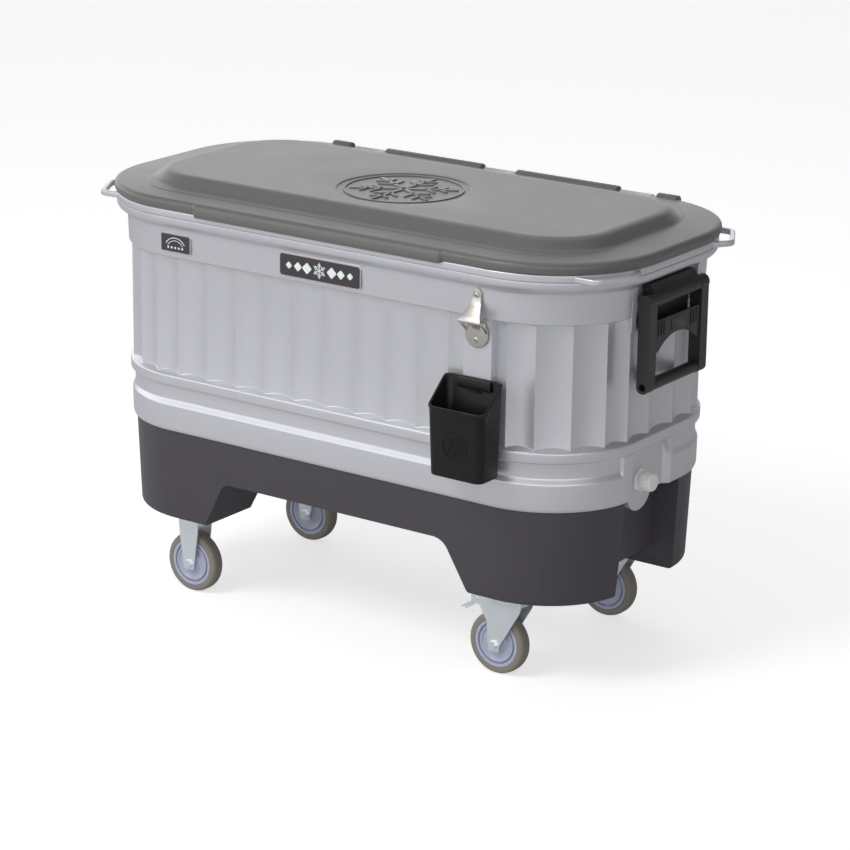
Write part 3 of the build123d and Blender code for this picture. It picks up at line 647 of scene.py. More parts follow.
# ---------------------------------------------------------------- plan of the tub
@dataclass(frozen=True)
class Outline:
    """Rounded rectangle of the rim, and every line parallel to it.

    A place on it is its distance u round the rim, anticlockwise from the front's middle. The point at
    an inset is anchor(u) + (corner - inset) * normal(u), so that it is linear in the inset.
    """

    half_length: float = 625.0
    half_width: float = 316.7
    corner: float = 227.5

    @property
    def centre_x(self) -> float:
        """X of the corner centres."""
        return self.half_length - self.corner

    @property
    def centre_y(self) -> float:
        """Y of the corner centres."""
        return self.half_width - self.corner

    @property
    def quarter(self) -> float:
        """Length of a quarter of the rim."""
        return self.centre_x + self.corner * math.pi / 2 + self.centre_y

    def points(self, u: np.ndarray, depth: np.ndarray, z: np.ndarray) -> Points:
        """Points of the outline's parallels.

        Args:
            u: distances round the rim.
            depth: insets.
            z: heights; all three broadcast together.

        Returns:
            (..., 3) points.
        """
        quarter = self.quarter
        lap = np.mod(u, 4 * quarter)
        part = np.minimum((lap // quarter).astype(int), 3)
        v = np.select([part == 0, part == 1, part == 2], [lap, 2 * quarter - lap, lap - 2 * quarter],
                      4 * quarter - lap)
        flip_x = np.where((part == 2) | (part == 3), -1.0, 1.0)
        flip_y = np.where((part == 1) | (part == 2), -1.0, 1.0)
        turn = np.clip((v - self.centre_x) / self.corner, 0, math.pi / 2)
        anchor_x = np.minimum(v, self.centre_x)
        anchor_y = -self.centre_y + np.maximum(v - self.centre_x - self.corner * math.pi / 2, 0)
        x = flip_x * (anchor_x + (self.corner - depth) * np.sin(turn))
        y = flip_y * (anchor_y - (self.corner - depth) * np.cos(turn))
        return np.stack(np.broadcast_arrays(x, y, z), -1)

    def at_end(self, y: float, depth: float, side: int = 1) -> float:
        """Distance u of the place on an end wall that has this Y.

        Args:
            y: the place's Y.
            depth: inset of the line that it lies on.
            side: 1 for the right end, -1 for the left.

        Returns:
            The distance; past the straight part it follows the corner, u = r * asin(reach / (r - depth)).
        """
        reach = abs(y)
        if reach > self.centre_y:
            reach = self.centre_y + self.corner * math.asin((reach - self.centre_y) / (self.corner - depth))
        return (2 - side) * self.quarter + side * math.copysign(reach, y)

    def at_back(self, x: float) -> float:
        """Distance u of the place on the back wall that has this X."""
        return 2 * self.quarter - x

    def window(self, u: np.ndarray, start: float, end: float, soft: float = 0.8,
               soft_end: float | None = None) -> np.ndarray:
        """1 between two places and 0 outside, with a smooth rise and fall, s^2 (3 - 2s), centred on them.

        Args:
            u: distances round the rim.
            start: where it rises.
            end: where it falls.
            soft: width of the rise.
            soft_end: width of the fall, if it differs.

        Returns:
            The share at each distance.
        """
        lap = 4 * self.quarter
        middle = (start + end) / 2
        offset = np.mod(u - middle + lap / 2, lap) - lap / 2
        half = (end - start) / 2
        fall = soft if soft_end is None else soft_end
        rise = np.clip((offset + half) / soft + 0.5, 0, 1)
        drop = np.clip((half - offset) / fall + 0.5, 0, 1)
        share = np.minimum(rise, drop)
        return share * share * (3 - 2 * share)


PLAN = Outline()
SHARP = 0.8                # width over which a sharp step of the plan rises


def marks(*edges: tuple[float, float], count: int = 5) -> np.ndarray:
    """Columns that resolve soft edges, evenly across each.

    Args:
        edges: (middle, width) of each edge.
        count: how many columns each gets.

    Returns:
        All their distances u.
    """
    across = np.linspace(-0.5, 0.5, count)
    return np.concatenate([middle + width * across for middle, width in edges])


@dataclass
class Tub:
    """Outer wall with its flutes, rim with loops and knuckles, and what hides inside."""

    pitch: float = 73.6
    corner_ridges: tuple[float, ...] = (8.3, 24.7, 45.0, 65.3, 81.7)
    end_ridge: float = 44.0
    ridge: float = 30.0
    valley: float = 39.0
    columns_per_flute: int = 16
    z_collar: float = 739.0
    pad: tuple[float, float] = (333.0, 397.0)
    handle_half: float = 110.0
    lug_outer: float = 122.5
    drain_y: float = -49.0
    pocket: tuple[float, float] = (-99.0, 38.0)
    pocket_soft: tuple[float, float] = (1.5, 12.0)
    pocket_inset: float = 43.0
    pocket_top: float = 465.0
    pocket_corner: float = 24.0
    groove_end: float = -128.0
    groove_soft: float = 6.0
    underside: float = 371.0
    pad_inset: float = 23.4
    seat_drop: float = 6.0
    lug_drop: float = 29.0
    tongue_radius: float = 45.0
    tongue_z: float = 383.0

    def stations(self) -> np.ndarray:
        """Distances u of the flutes' ridges over one lap, ending where it began."""
        count = int(PLAN.centre_x // self.pitch)
        first = [k * self.pitch for k in range(count + 1)]
        first += [PLAN.centre_x + PLAN.corner * math.radians(a) for a in self.corner_ridges]
        first.append(PLAN.quarter - self.end_ridge)
        half = np.array(first + [2 * PLAN.quarter - u for u in reversed(first)])
        lap = np.concatenate([half, half[1:-1] + 2 * PLAN.quarter])
        return np.concatenate([lap, [4 * PLAN.quarter]])

    def flute(self, u: np.ndarray) -> np.ndarray:
        """Inset of the fluted wall: ridge + (valley - ridge) * 4f(1 - f), f from ridge to ridge.

        Args:
            u: distances round the rim.

        Returns:
            The inset at each.
        """
        stations = self.stations()
        lap = np.mod(u, 4 * PLAN.quarter)
        k = np.clip(np.searchsorted(stations, lap, side="right") - 1, 0, len(stations) - 2)
        f = (lap - stations[k]) / (stations[k + 1] - stations[k])
        return self.ridge + (self.valley - self.ridge) * 4 * f * (1 - f)

    def columns(self) -> np.ndarray:
        """Where the wall's columns stand: evenly in each flute, closer at every sharp edge."""
        stations = self.stations()
        f = np.linspace(0, 1, self.columns_per_flute, endpoint=False)
        even = (stations[:-1, None] + np.diff(stations)[:, None] * f).ravel()
        edges = [(place, SHARP) for place in self.pad]
        for side in (1, -1):
            for y in (self.handle_half, self.lug_outer):
                edges += [(PLAN.at_end(sign * y, self.ridge, side), SHARP) for sign in (1, -1)]
        edges += [(PLAN.at_end(self.pocket[0], self.pocket_inset), self.pocket_soft[0]),
                  (PLAN.at_end(self.pocket[1], self.pocket_inset), self.pocket_soft[1]),
                  (PLAN.at_end(self.groove_end, self.ridge), self.groove_soft)]
        tongue_y = self.drain_y + self.tongue_radius * np.sin(np.radians(np.arange(-75, 90, 10)))
        tongue = [PLAN.at_end(y, self.pocket_inset) for y in tongue_y]
        return np.unique(np.mod(np.concatenate([even, marks(*edges), tongue]), 4 * PLAN.quarter).round(4))

    def wall(self) -> Skin:
        """Closed tub wall: outer profile upwards, then the inner one down to a flat floor."""
        u = self.columns()
        flat = np.zeros_like(u)
        flute = self.flute(u)
        pad = PLAN.window(u, *self.pad)
        flute = flute + (self.pad_inset - flute) * pad
        pocket_ends = [PLAN.at_end(y, self.pocket_inset) for y in self.pocket]
        pocket = PLAN.window(u, *pocket_ends, *self.pocket_soft)
        cheek_start = PLAN.at_end(self.groove_end, self.ridge)
        cheek = PLAN.window(u, cheek_start, pocket_ends[1] + self.pocket_soft[1], self.groove_soft)
        y = PLAN.points(u, flat + self.pocket_inset, flat)[:, 1]
        end_right = PLAN.window(u, PLAN.quarter - 150, PLAN.quarter + 150)
        seat, lug = flat.copy(), flat.copy()
        for side in (1, -1):
            ends = sorted(PLAN.at_end(w, self.ridge, side) for w in (-self.handle_half, self.handle_half))
            seat = np.maximum(seat, PLAN.window(u, *ends))
            for sign in (1, -1):
                ends = sorted(PLAN.at_end(sign * w, self.ridge, side)
                              for w in (self.handle_half, self.lug_outer))
                lug = np.maximum(lug, PLAN.window(u, *ends))
        z_collar = self.z_collar - self.seat_drop * seat - self.lug_drop * lug
        drop = np.clip(self.tongue_radius**2 - (y - self.drain_y) ** 2, 0, None) ** 0.5
        z_low = np.where(end_right > 0.5, np.minimum(self.underside, self.tongue_z - drop), self.underside)
        corner = self.pocket_corner
        side_gap = np.clip(np.minimum(y - self.pocket[0], self.pocket[1] - y), 0, corner)
        z_top = self.pocket_top - corner + (corner**2 - (corner - side_gap) ** 2) ** 0.5

        def level(depth: float | np.ndarray, z: float | np.ndarray) -> np.ndarray:
            """Inset and height of one line of the profile, for every column."""
            return np.stack(np.broadcast_arrays(depth + flat, z + flat), -1)

        def mix(plain: float | np.ndarray, other: float | np.ndarray, share: np.ndarray) -> np.ndarray:
            """The plain value where the share is 0 and the other where it is 1."""
            return plain + (other - plain) * share

        deep = self.pocket_inset
        groove_low, groove_high = mix(33.3, 28.0, cheek), mix(33.6, 28.0, cheek)
        ledge = 492.0 + 0.5 * (flute - 24.5)
        rows = [
            (level(46.0, z_low), 0.0),
            (level(mix(31.2, deep, pocket), z_low), 1.6),
            (level(mix(28.8, deep, pocket), np.maximum(377.0, z_low)), 3.0),
            (level(mix(28.0, deep, pocket), mix(426.5, z_top - 1.0, pocket)), 2.5),
            (level(mix(groove_low, 28.0, pocket), mix(437.0, z_top, pocket)), 2.5),
            (level(groove_high, 467.4), 2.2),
            (level(24.8, 470.4), 2.2),
            (level(24.4, 490.6), 3.0),
            (level(flute, ledge), 0.8),
            (level(flute, z_collar - 2.0), 0.8),
            (level(mix(24.4, 33.5, seat), z_collar + 1.5), 2.2),
            (level(mix(22.2, 33.5, seat), mix(801.5, 800.0, seat)), 6.0),
            (level(8.0, 808.5), 8.0),
            (level(1.0, 817.0), 7.0),
            (level(1.0, 828.0), 1.2),
            (level(5.5, 828.0), 0.0),
            (level(7.0, 819.0), 3.0),
            (level(36.0, 812.0), 3.0),
            (level(50.0, 805.0), 3.0),
            (level(50.0, 378.0), 0.0),
        ]
        line = soften(np.stack([row for row, _ in rows]), [cut for _, cut in rows])
        return skin_of(PLAN.points(u[None, :], line[..., 0], line[..., 1]))

    def rim_skins(self) -> list[Skin]:
        """Ring of the rim, four tie-down loops and the hinge's knuckles."""
        u = np.linspace(0, 4 * PLAN.quarter, 360, endpoint=False)
        line = np.array([(2.2, 828.3), (1.0, 830.0), (1.0, 841.5), (3.0, 843.2), (44.5, 843.2),
                         (44.5, 828.3)])
        line = soften(line, [0.5, 0.8, 1.2, 1.2, 0.6, 0], closed=True)
        skins = [skin_of(PLAN.points(u[None, :], line[:, :1], line[:, 1:]), wrap_rows=True)]
        skins += [self.loop(sx, sy) for sx in (1, -1) for sy in (1, -1)]
        for low, high in ((-39, 39), (294, 371), (-371, -294)):
            neck = rounded_box(7.5, 15.0, 2.0) + (320.0, 842.0)
            skins.append(bar_along(neck, low, high, 1.0, along_x))
            skins.append(bar_along(circle(7.5, 32, (320.0, 858.0)), low, high, 1.0, along_x))
            skins.append(bar_along(rounded_box(12.0, 6.0, 1.5) + (313.0, 835.5), low, high, 1.0, along_x))
        return skins

    def loop(self, sx: int, sy: int) -> Skin:
        """One tie-down loop: a bar with rounded edges, two slanted legs and a straight grip.

        Args:
            sx: 1 on the right, -1 on the left.
            sy: 1 at the back, -1 in front.

        Returns:
            The swept bar.
        """
        way = np.array([(205.0, -69.0), (252.0, -46.0), (252.0, 46.0), (205.0, 69.0)])
        way = soften(way, [0, 14, 14, 0], steps=8)
        turn = math.radians(29)
        x = PLAN.centre_x + way[:, 0] * math.cos(turn) - way[:, 1] * math.sin(turn)
        y = PLAN.centre_y + way[:, 0] * math.sin(turn) + way[:, 1] * math.cos(turn)
        path = np.stack([sx * x, sy * y, np.full(len(x), 835.0)], -1)
        return sweep(path, rounded_box(5.0, 5.9, 2.6, 4), np.array([0.0, 0.0, 1.0]))

    def build(self) -> None:
        """Makes the pieces of the tub and dresses the nodes that stay."""
        make_piece("tub_wall", [self.wall()], SILVER, Body.TUB.value, ["outer_shell"],
                   crease=28)
        make_piece("rim_with_loops", self.rim_skins(), SILVER, Body.TUB.value, ["top_rim"])
        dress_node("inner_liner", LINER_WHITE)
        dress_node("foam_insulation", FOAM)
        dress_node("hinge_pins", SCREW)
        dress_node("base_screws", SCREW)
        dress_node("bracket_screws", SCREW)


@dataclass
class Lid:
    """Lid skin with its finger pull, raised panel and round emblem, and the pan under it."""

    spacing: float = 8.0
    pull: tuple[float, float] = (-299.0, 296.0)
    pull_end: float = 9.0
    notches: tuple[tuple[float, float], ...] = ((-43.0, 43.0), (290.0, 375.0), (-375.0, -290.0))
    barrels: tuple[tuple[float, float], ...] = (
        (43.3, 289.7), (383.0, 430.0), (-289.7, -43.3), (-430.0, -383.0))
    step_inset: float = 51.0
    slope_foot: float = 80.0
    panel_inset: float = 114.0
    z_panel: float = 889.0
    emblem: tuple[float, float] = (4.0, -30.0)
    emblem_radius: float = 135.0

    def skin(self) -> Skin:
        """Closed lid: inner face down and out, round the skirt, over the border and panel to the emblem."""
        ends = marks(*((place, self.pull_end) for place in self.pull), count=13)
        edges = marks(*((PLAN.at_back(x), SHARP) for pair in self.notches for x in pair))
        even = np.arange(0, 4 * PLAN.quarter, self.spacing)
        u = np.unique(np.mod(np.concatenate([even, edges, ends]), 4 * PLAN.quarter).round(4))
        flat = np.zeros_like(u)
        pull = PLAN.window(u, *self.pull, self.pull_end)
        notch = flat.copy()
        for low, high in self.notches:
            notch = np.maximum(notch, PLAN.window(u, PLAN.at_back(high), PLAN.at_back(low)))
        bend = PLAN.corner * math.pi / 2
        side = sum(PLAN.window(u, turn - PLAN.centre_x - 0.45 * bend, turn + PLAN.centre_x + 0.45 * bend,
                               0.7 * bend) for turn in (0, 2 * PLAN.quarter))
        step = self.slope_foot - 4 + (self.step_inset - self.slope_foot + 4) * side

        def level(depth: float | np.ndarray, z: float | np.ndarray, pull_depth: float | None = None,
                  pull_z: float | None = None, least: float = -9.0) -> np.ndarray:
            """Inset and height of one line of the profile, for every column.

            Args:
                depth: the plain inset.
                z: the plain height.
                pull_depth: inset in the finger pull, if it differs.
                pull_z: height in the finger pull.
                least: smallest inset in a hinge notch.

            Returns:
                (columns, 2) array of insets and heights.
            """
            depth, z = depth + flat, z + flat
            if pull_depth is not None:
                depth = depth + (pull_depth - depth) * pull
                z = z + (pull_z - z) * pull
            depth = np.where(notch > 0.5, np.maximum(depth, least), depth)
            return np.stack([depth, z], -1)

        rows = [
            (level(118, 884.8), 0), (level(100, 880.5), 5), (level(84, 867.5), 5), (level(56, 864.2), 5),
            (level(9, 861.0, least=12), 4), (level(2.2, 856, least=11.5), 3), (level(4.6, 846, least=11), 1),
            (level(3.8, 844, least=10), 0.4), (level(1.2, 844, -1.5, 843.6, 8), 0.2),
            (level(0.6, 844, -1.8, 838.8, 7.6), 0.4), (level(0.0, 844.2, -5.2, 838.2, 7.3), 0.8),
            (level(-1.6, 846, -8.2, 846.4, 7.0), 2.0), (level(-4, 856, -7.6, 856, 7.0), 4.0),
            (level(-2.2, 862.2, -5.6, 862.2, 7.2), 3.2), (level(4.5, 865.4, 3.0, 865.6, 12.0), 4.0),
            (level(step - 1.2, 867.2 + 0.6 * (1 - side)), 0.5),
            (level(step + 0.6, 868.4 + 0.1 * (1 - side)), 0.8),
            (level(self.slope_foot, 869.8), 4.0), (level(self.panel_inset - 13, 887.0), 7.0),
            (level(self.panel_inset, self.z_panel), 5.0), (level(self.panel_inset + 6, self.z_panel), 0),
        ]
        line = soften(np.stack([row for row, _ in rows]), [cut for _, cut in rows])
        rings = PLAN.points(u[None, :], line[..., 0], line[..., 1])
        edge = rings[-1]
        angle = np.arctan2(edge[:, 1] - self.emblem[1], edge[:, 0] - self.emblem[0])
        around = np.stack([np.cos(angle), np.sin(angle), flat], -1)
        middle = np.array([*self.emblem, 0.0])

        def disc(radius: float, z: float) -> Points:
            """Circle about the emblem's middle, one point for each column."""
            return middle + radius * around + np.array([0, 0, z])

        rim = disc(self.emblem_radius + 3, self.z_panel)
        share = np.linspace(0.25, 1, 4)[:, None, None]
        inner = [disc(r, z) for r, z in ((self.emblem_radius + 1, self.z_panel - 0.15),
                                         (self.emblem_radius, self.z_panel - 0.9),
                                         (self.emblem_radius - 1.5, self.z_panel - 2.2),
                                         (self.emblem_radius - 4, self.z_panel - 2.4),
                                         (90, self.z_panel - 2.4), (30, self.z_panel - 2.4))]
        return skin_of(np.concatenate([rings, edge + (rim - edge) * share, np.stack(inner)]))

    def relief_skins(self) -> list[Skin]:
        """Raised snowflake and ring that fill the emblem's recess."""
        top = self.z_panel - 0.1
        rise = [(0, top - 3.2), (0, top - 0.8), (0.25, top - 0.25), (0.9, top)]
        skins = [relief(stadium(start, end, width), rise, along_z)
                 for start, end, width in snowflake(0.78 * self.emblem_radius, self.emblem)]
        ring = circle(0.9 * self.emblem_radius, 120, self.emblem)
        skins.append(band_relief(ring, 4.0, top - 3.2, top - 0.3, along_z))
        return skins

    def build(self) -> None:
        """Makes the lid's pieces."""
        skins = [self.skin()] + self.relief_skins()
        for low, high in self.barrels:
            skins.append(bar_along(circle(13.0, 48, (320.0, 858.0)), low, high, 2.0, along_x))
        make_piece("lid_skin", skins, LID_GREY, Body.LID.value, ["lid_top"], crease=30)
        dress_node("lid_foam", FOAM)
        dress_node("lid_liner", PAN_WHITE)


@dataclass
class Base:
    """Charcoal skirt moulding with its four legs."""

    edge: float = 1.6
    segments: int = 2
    crease: float = 38.0

    def build(self) -> None:
        """Rounds the moulding's edges."""
        soften_node("base_skirt", CHARCOAL, self.edge, self.segments, self.crease)


@dataclass
class CatchBin:
    """Cap catcher: tapered open box with a low front and a moulded motif."""

    x: float = 365.0
    back: float = -294.3
    half: tuple[float, float] = (60.0, 65.0)
    front: tuple[float, float] = (-364.5, -370.5)
    low: float = 438.0
    front_rim: float = 576.0
    back_rim: float = 623.0
    rise_start: float = -359.0
    rise_slope: float = 0.86
    radius: float = 16.0
    wall: float = 3.4
    lip: float = 1.8

    def front_at(self, z: np.ndarray) -> np.ndarray:
        """Y of the front face at a height."""
        share = (z - self.low) / (self.back_rim - self.low)
        return self.front[0] + (self.front[1] - self.front[0]) * share

    def ring(self, z: np.ndarray, cut: float) -> Points:
        """Rounded rectangle of the box at the heights of its columns.

        Args:
            z: height of each column.
            cut: how far the ring is drawn in; negative for outwards.

        Returns:
            The ring's points.
        """
        share = (z - self.low) / (self.back_rim - self.low)
        half_x = self.half[0] + (self.half[1] - self.half[0]) * share - cut
        front = self.front_at(z) + cut
        half_y = (self.back - cut - front) / 2
        middle_y = (self.back - cut + front) / 2
        corner = np.sign(rounded_box(2.0, 2.0, 1.0, 8))
        radius = max(self.radius - cut, 2.0)
        unit = unit_normals(8)
        x = self.x + corner[:, 0] * (half_x - radius) + radius * unit[:, 0]
        y = middle_y + corner[:, 1] * (half_y - radius) + radius * unit[:, 1]
        return np.stack([x, y, z], -1)

    def rim_height(self) -> np.ndarray:
        """Rim's height in each column: the front's height plus the smooth positive part of a slope,
        (s + sqrt(s^2 + 16)) / 2, up to the back's height."""
        flat = np.full(4 * 9, self.back_rim)
        y = self.ring(flat, 0)[:, 1]
        rise = (y - self.rise_start) * self.rise_slope
        soft = 0.5 * (rise + np.sqrt(rise**2 + 16.0))
        return np.minimum(self.front_rim + soft, self.back_rim)

    def to_front(self, a: np.ndarray, b: np.ndarray, h: np.ndarray) -> Points:
        """Lays (a, b) on the sloping front face, standing h proud of it."""
        return np.stack([self.x + a, self.front_at(b) - h, b], -1)

    def build(self) -> None:
        """Makes the box, its inner tab and its front motif."""
        top = self.rim_height()
        low = np.full_like(top, self.low)
        foot = [(0, 4.0), (0.6, 1.6), (2, 0.4), (4, 0)]
        rows = [self.ring(low + rise, cut) for rise, cut in foot]
        rows += [self.ring(low + (top - low) * share, 0) for share in (0.33, 0.66)]
        lip = [(-6.0, 0.0), (-5.2, -0.2 * self.lip), (-4.6, -0.8 * self.lip), (-3.6, -self.lip),
               (-1.4, -self.lip), (-0.4, 0.3 - self.lip), (0.0, 1.4 - self.lip),
               (0.0, self.wall - 1.4), (-0.4, self.wall - 0.4), (-1.6, self.wall)]
        rows += [self.ring(top + rise, cut) for rise, cut in lip]
        rows += [self.ring(low + 8, self.wall), self.ring(low + 4, self.wall + 2)]
        skins = [skin_of(np.stack(rows))]
        tab = rounded_box(38.0, 10.0, 4.0) + (self.x, 611.0)
        skins.append(relief(tab, [(0, -self.back + 3), (0, -self.back + 8.6), (0.4, -self.back + 9.4),
                                  (1.2, -self.back + 9.8)], along_y))
        skins += self.motif()
        make_piece("catch_bin_box", skins, BLACK, Body.BIN.value, ["catch_bin"])

    def motif(self) -> list[Skin]:
        """Crown cap with a snowflake: 21 scallops, radius * (1 + 0.045 cos 21a)."""
        centre = (0.0, 502.0)
        a = np.linspace(0, 2 * math.pi, 168, endpoint=False)
        radius = 29.0 * (1 + 0.045 * np.cos(21 * a))
        crown = np.stack([centre[0] + radius * np.cos(a), centre[1] + radius * np.sin(a)], -1)
        skins = [band_relief(crown, 2.6, -1.0, 1.1, self.to_front)]
        skins.append(band_relief(circle(23.5, 96, centre), 1.4, -1.0, 0.9, self.to_front))
        for start, end, width in snowflake(19.0, centre):
            skins.append(relief(stadium(start, end, width), [(0, -1.0), (0, 0.8), (0.3, 1.1)], self.to_front))
        return skins


def unit_normals(steps: int) -> np.ndarray:
    """Directions of the points of a rounded rectangle: the same in each corner as on a circle."""
    turn = np.linspace(0, math.pi / 2, steps + 1)
    a = np.concatenate([turn + k * math.pi / 2 for k in range(4)])
    return np.stack([np.cos(a), np.sin(a)], -1)


@dataclass
class Opener:
    """Cast bottle opener: a bent sheet that leans forward to its lip, an oval foot and the tooth between."""

    x: float = 365.0
    face: float = -294.7
    top: float = 785.0
    foot: float = 698.0
    lip: tuple[float, float] = (28.0, 739.0)
    lip_half: float = 25.0

    def strap(self, path: Points, half: np.ndarray, thick: float) -> Skin:
        """Sheet along a path in the plane of Y and Z.

        Args:
            path: (out from the wall, z) points.
            half: half-width at each point.
            thick: the sheet's thickness.

        Returns:
            The closed sheet: each ring is a rounded rectangle across the path, its long side along X.
        """
        tangent = np.gradient(path, axis=0)
        tangent /= np.linalg.norm(tangent, axis=1, keepdims=True)
        normal = np.stack([-tangent[:, 1], tangent[:, 0]], -1)
        edge = thick * 0.45
        corner = np.sign(rounded_box(2.0, 2.0, 1.0, 4))
        unit = unit_normals(4)
        across = corner[None, :, 0] * (np.maximum(half, edge + 0.1)[:, None] - edge) + edge * unit[None, :, 0]
        through = corner[:, 1] * (thick / 2 - edge) + edge * unit[:, 1]
        flat = path[:, None] + normal[:, None] * through[None, :, None]
        return skin_of(np.stack([self.x + across, self.face - flat[..., 0], flat[..., 1]], -1))

    def hood(self) -> Skin:
        """Front sheet: round tab at the top screw, then out to the lip and a short way back under it."""
        out, low = self.lip
        tip_z = self.top + 11.5
        way = np.array([(1.7, tip_z), (1.7, self.top - 13), (out - 3, low + 4), (out, low - 3),
                        (out - 5, low - 7)])
        way = soften(way, [0, 12, 4, 3, 0], steps=8)
        share = np.clip((self.top - 10 - way[:, 1]) / (self.top - 10 - low), 0, 1)
        half = 10.0 + (self.lip_half - 10.0) * share**1.25
        fine = np.linspace(0, 1, 7)[1:-1, None]
        way = np.concatenate([way[:1], way[0] + (way[1] - way[0]) * fine, way[1:]])
        half = np.concatenate([half[:1], np.full(len(fine), half[0]), half[1:]])
        tip = np.clip((tip_z - way[:, 1]) / 11.0, 0.02, 1)
        return self.strap(way, half * np.sqrt(1 - (1 - tip) ** 2), 3.2)

    def oval(self) -> Skin:
        """Foot on the wall: half-width w = 26.5 * sqrt(1 - ((z - 709) / 27)^2), above it a little wider."""
        z = 709.0 - 26.8 * np.cos(np.linspace(0.03, math.pi * 0.84, 26))
        half = 26.5 * np.sqrt(1 - ((z - 709.0) / 27.0) ** 2)
        half = np.where(z > 709.0, np.maximum(half, 26.5 - 0.35 * (z - 709.0)), half)
        return self.strap(np.stack([np.full(len(z), 1.9), z], -1), half, 3.8)

    def arm(self, side: int) -> Skin:
        """Bar from a corner of the lip back to the foot.

        Args:
            side: 1 for the right corner, -1 for the left.

        Returns:
            The swept bar.
        """
        out, low = self.lip
        ends = np.array([(side * (self.lip_half - 2.6), out - 2.0, low - 4.0),
                         (side * (self.lip_half - 0.5), out * 0.45, low - 13.0),
                         (side * (self.lip_half - 2.0), 2.5, low - 25.0)])
        way = soften(ends, [0, 8, 0], steps=8)
        path = np.stack([self.x + way[:, 0], self.face - way[:, 1], way[:, 2]], -1)
        return sweep(path, rounded_box(1.8, 3.0, 1.2, 3), np.array([1.0, 0.0, 0.0]))

    def tooth(self) -> Skin:
        """Tapered tooth that rises from the foot under the lip."""
        way = soften(np.array([(1.9, 714.0), (4.0, 722.0), (16.0, 731.0)]), [0, 5, 0], steps=5)
        return self.strap(way, np.linspace(11.0, 5.5, len(way)), 3.0)

    def to_wall(self, a: np.ndarray, b: np.ndarray, h: np.ndarray) -> Points:
        """Lays (a, b) on the wall round the opener's middle, standing h out of it."""
        return np.stack([self.x + a, self.face - h, b], -1)

    def build(self) -> None:
        """Makes the casting, its domed screws and their cross slots, the slots as raised black crosses of
        painted shade.
        """
        skins = [self.hood(), self.oval(), self.arm(1), self.arm(-1), self.tooth()]
        make_piece("opener_casting", skins, NICKEL, Body.TUB.value, ["bottle_opener"],
                   crease=50)
        screws, slots = [], []
        t = np.linspace(0, math.pi / 2, 8)
        dome = np.concatenate([[(5.4, 1.0)], np.stack([5.4 * np.cos(t) + 0.05, 3.5 + 2.8 * np.sin(t)], -1)])
        for z in (self.top, self.foot):
            screws.append(lathe(dome, 40, lambda a, b, h, z=z: self.to_wall(a, b + z, h), closed=False))
            # Each slot is a raised black cross on the dome, painted shade standing in for a recessed slot.
            for turn in (0.4, 0.4 + math.pi / 2):
                half = 2.7 * np.array([math.cos(turn), math.sin(turn)])
                slot = stadium(-half, half, 1.1) + (0.0, z)
                slots.append(relief(slot, [(0, 5.0), (0, 6.25), (0.1, 6.32)], self.to_wall))
        make_piece("opener_screw_heads", screws, SCREW, Body.TUB.value, ["opener_screws"])
        make_piece("opener_screw_slot_shade", slots, RUBBER_AND_SLOT_SHADE, Body.TUB.value)


@dataclass
class Badges:
    """Two plates on the collar, each with a plain generic motif."""

    face: float = -294.4
    name_box: tuple[float, float, float, float] = (-101.0, 93.0, 750.5, 794.0)
    side_box: tuple[float, float, float, float] = (-403.0, -327.0, 752.0, 790.0)

    def build(self) -> None:
        """Makes the plates, their borders and their motifs."""
        depth = -self.face
        for word, node, box, radius, border in (
                ("name", "front_nameplate", self.name_box, 6.0, BADGE_RED),
                ("side", "side_badge", self.side_box, 4.0, BADGE_CHROME)):
            x0, x1, z0, z1 = box
            outline = rounded_box((x1 - x0) / 2, (z1 - z0) / 2, radius) + ((x0 + x1) / 2, (z0 + z1) / 2)
            steps = [(0, depth), (0, depth + 2.2), (0.7, depth + 3.0), (1.4, depth + 3.0)]
            edge = relief(outline, steps, along_y)
            make_piece(f"{word}_plate_edge", [edge], border, Body.TUB.value, [node])
            steps = [(0, depth + 1.0), (0, depth + 3.2), (0.4, depth + 3.5)]
            face = relief(inset(outline, 1.7), steps, along_y)
            make_piece(f"{word}_plate_face", [face], BADGE_FACE, Body.TUB.value)
            if word == "name":
                trim = band_relief(inset(outline, -1.4), 1.6, depth, depth + 2.6, along_y)
                make_piece("name_plate_trim", [trim], BADGE_CHROME, Body.TUB.value)
            motif = self.name_motif(box) if word == "name" else self.side_motif(box)
            make_piece(f"{word}_plate_motif", motif, BADGE_WHITE, Body.TUB.value)

    def name_motif(self, box: tuple[float, float, float, float]) -> list[Skin]:
        """Snowflake between two rows of ice blocks.

        Args:
            box: the plate's limits, x0, x1, z0, z1.

        Returns:
            The raised skins.
        """
        x, z, depth = (box[0] + box[1]) / 2, (box[2] + box[3]) / 2, -self.face
        rise = [(0, depth + 3.0), (0, depth + 3.9), (0.3, depth + 4.2)]
        skins = [relief(stadium(a, b, width * 1.5), rise, along_y) for a, b, width in snowflake(15.0, (x, z))]
        for side in (1, -1):
            for k, half in enumerate((8.5, 7.0, 5.5)):
                block = rounded_box(half, half, 2.5)
                turn = math.radians(45)
                spin = np.array([[math.cos(turn), -math.sin(turn)], [math.sin(turn), math.cos(turn)]])
                skins.append(relief(block @ spin.T + (x + side * (30 + 22 * k), z), rise, along_y))
        return skins

    def side_motif(self, box: tuple[float, float, float, float]) -> list[Skin]:
        """Two thin arcs over a short row of dots.

        Args:
            box: the plate's limits, x0, x1, z0, z1.

        Returns:
            The raised skins.
        """
        x, z, depth = (box[0] + box[1]) / 2, (box[2] + box[3]) / 2, -self.face
        rise = [(0, depth + 3.0), (0, depth + 3.8), (0.2, depth + 4.0)]
        skins = []
        for radius, width in ((30.0, 1.6), (24.0, 1.2)):
            a = np.linspace(math.radians(35), math.radians(145), 24)
            ray = np.stack([np.cos(a), np.sin(a)], -1)
            arc = np.concatenate([radius * ray, (radius - width) * ray[::-1]])
            skins.append(relief(arc + (x, z - 18.0), rise, along_y))
        for k in range(-2, 3):
            skins.append(relief(circle(2.4, 16, (x + 9.0 * k, z - 9.0)), rise, along_y))
        return skins


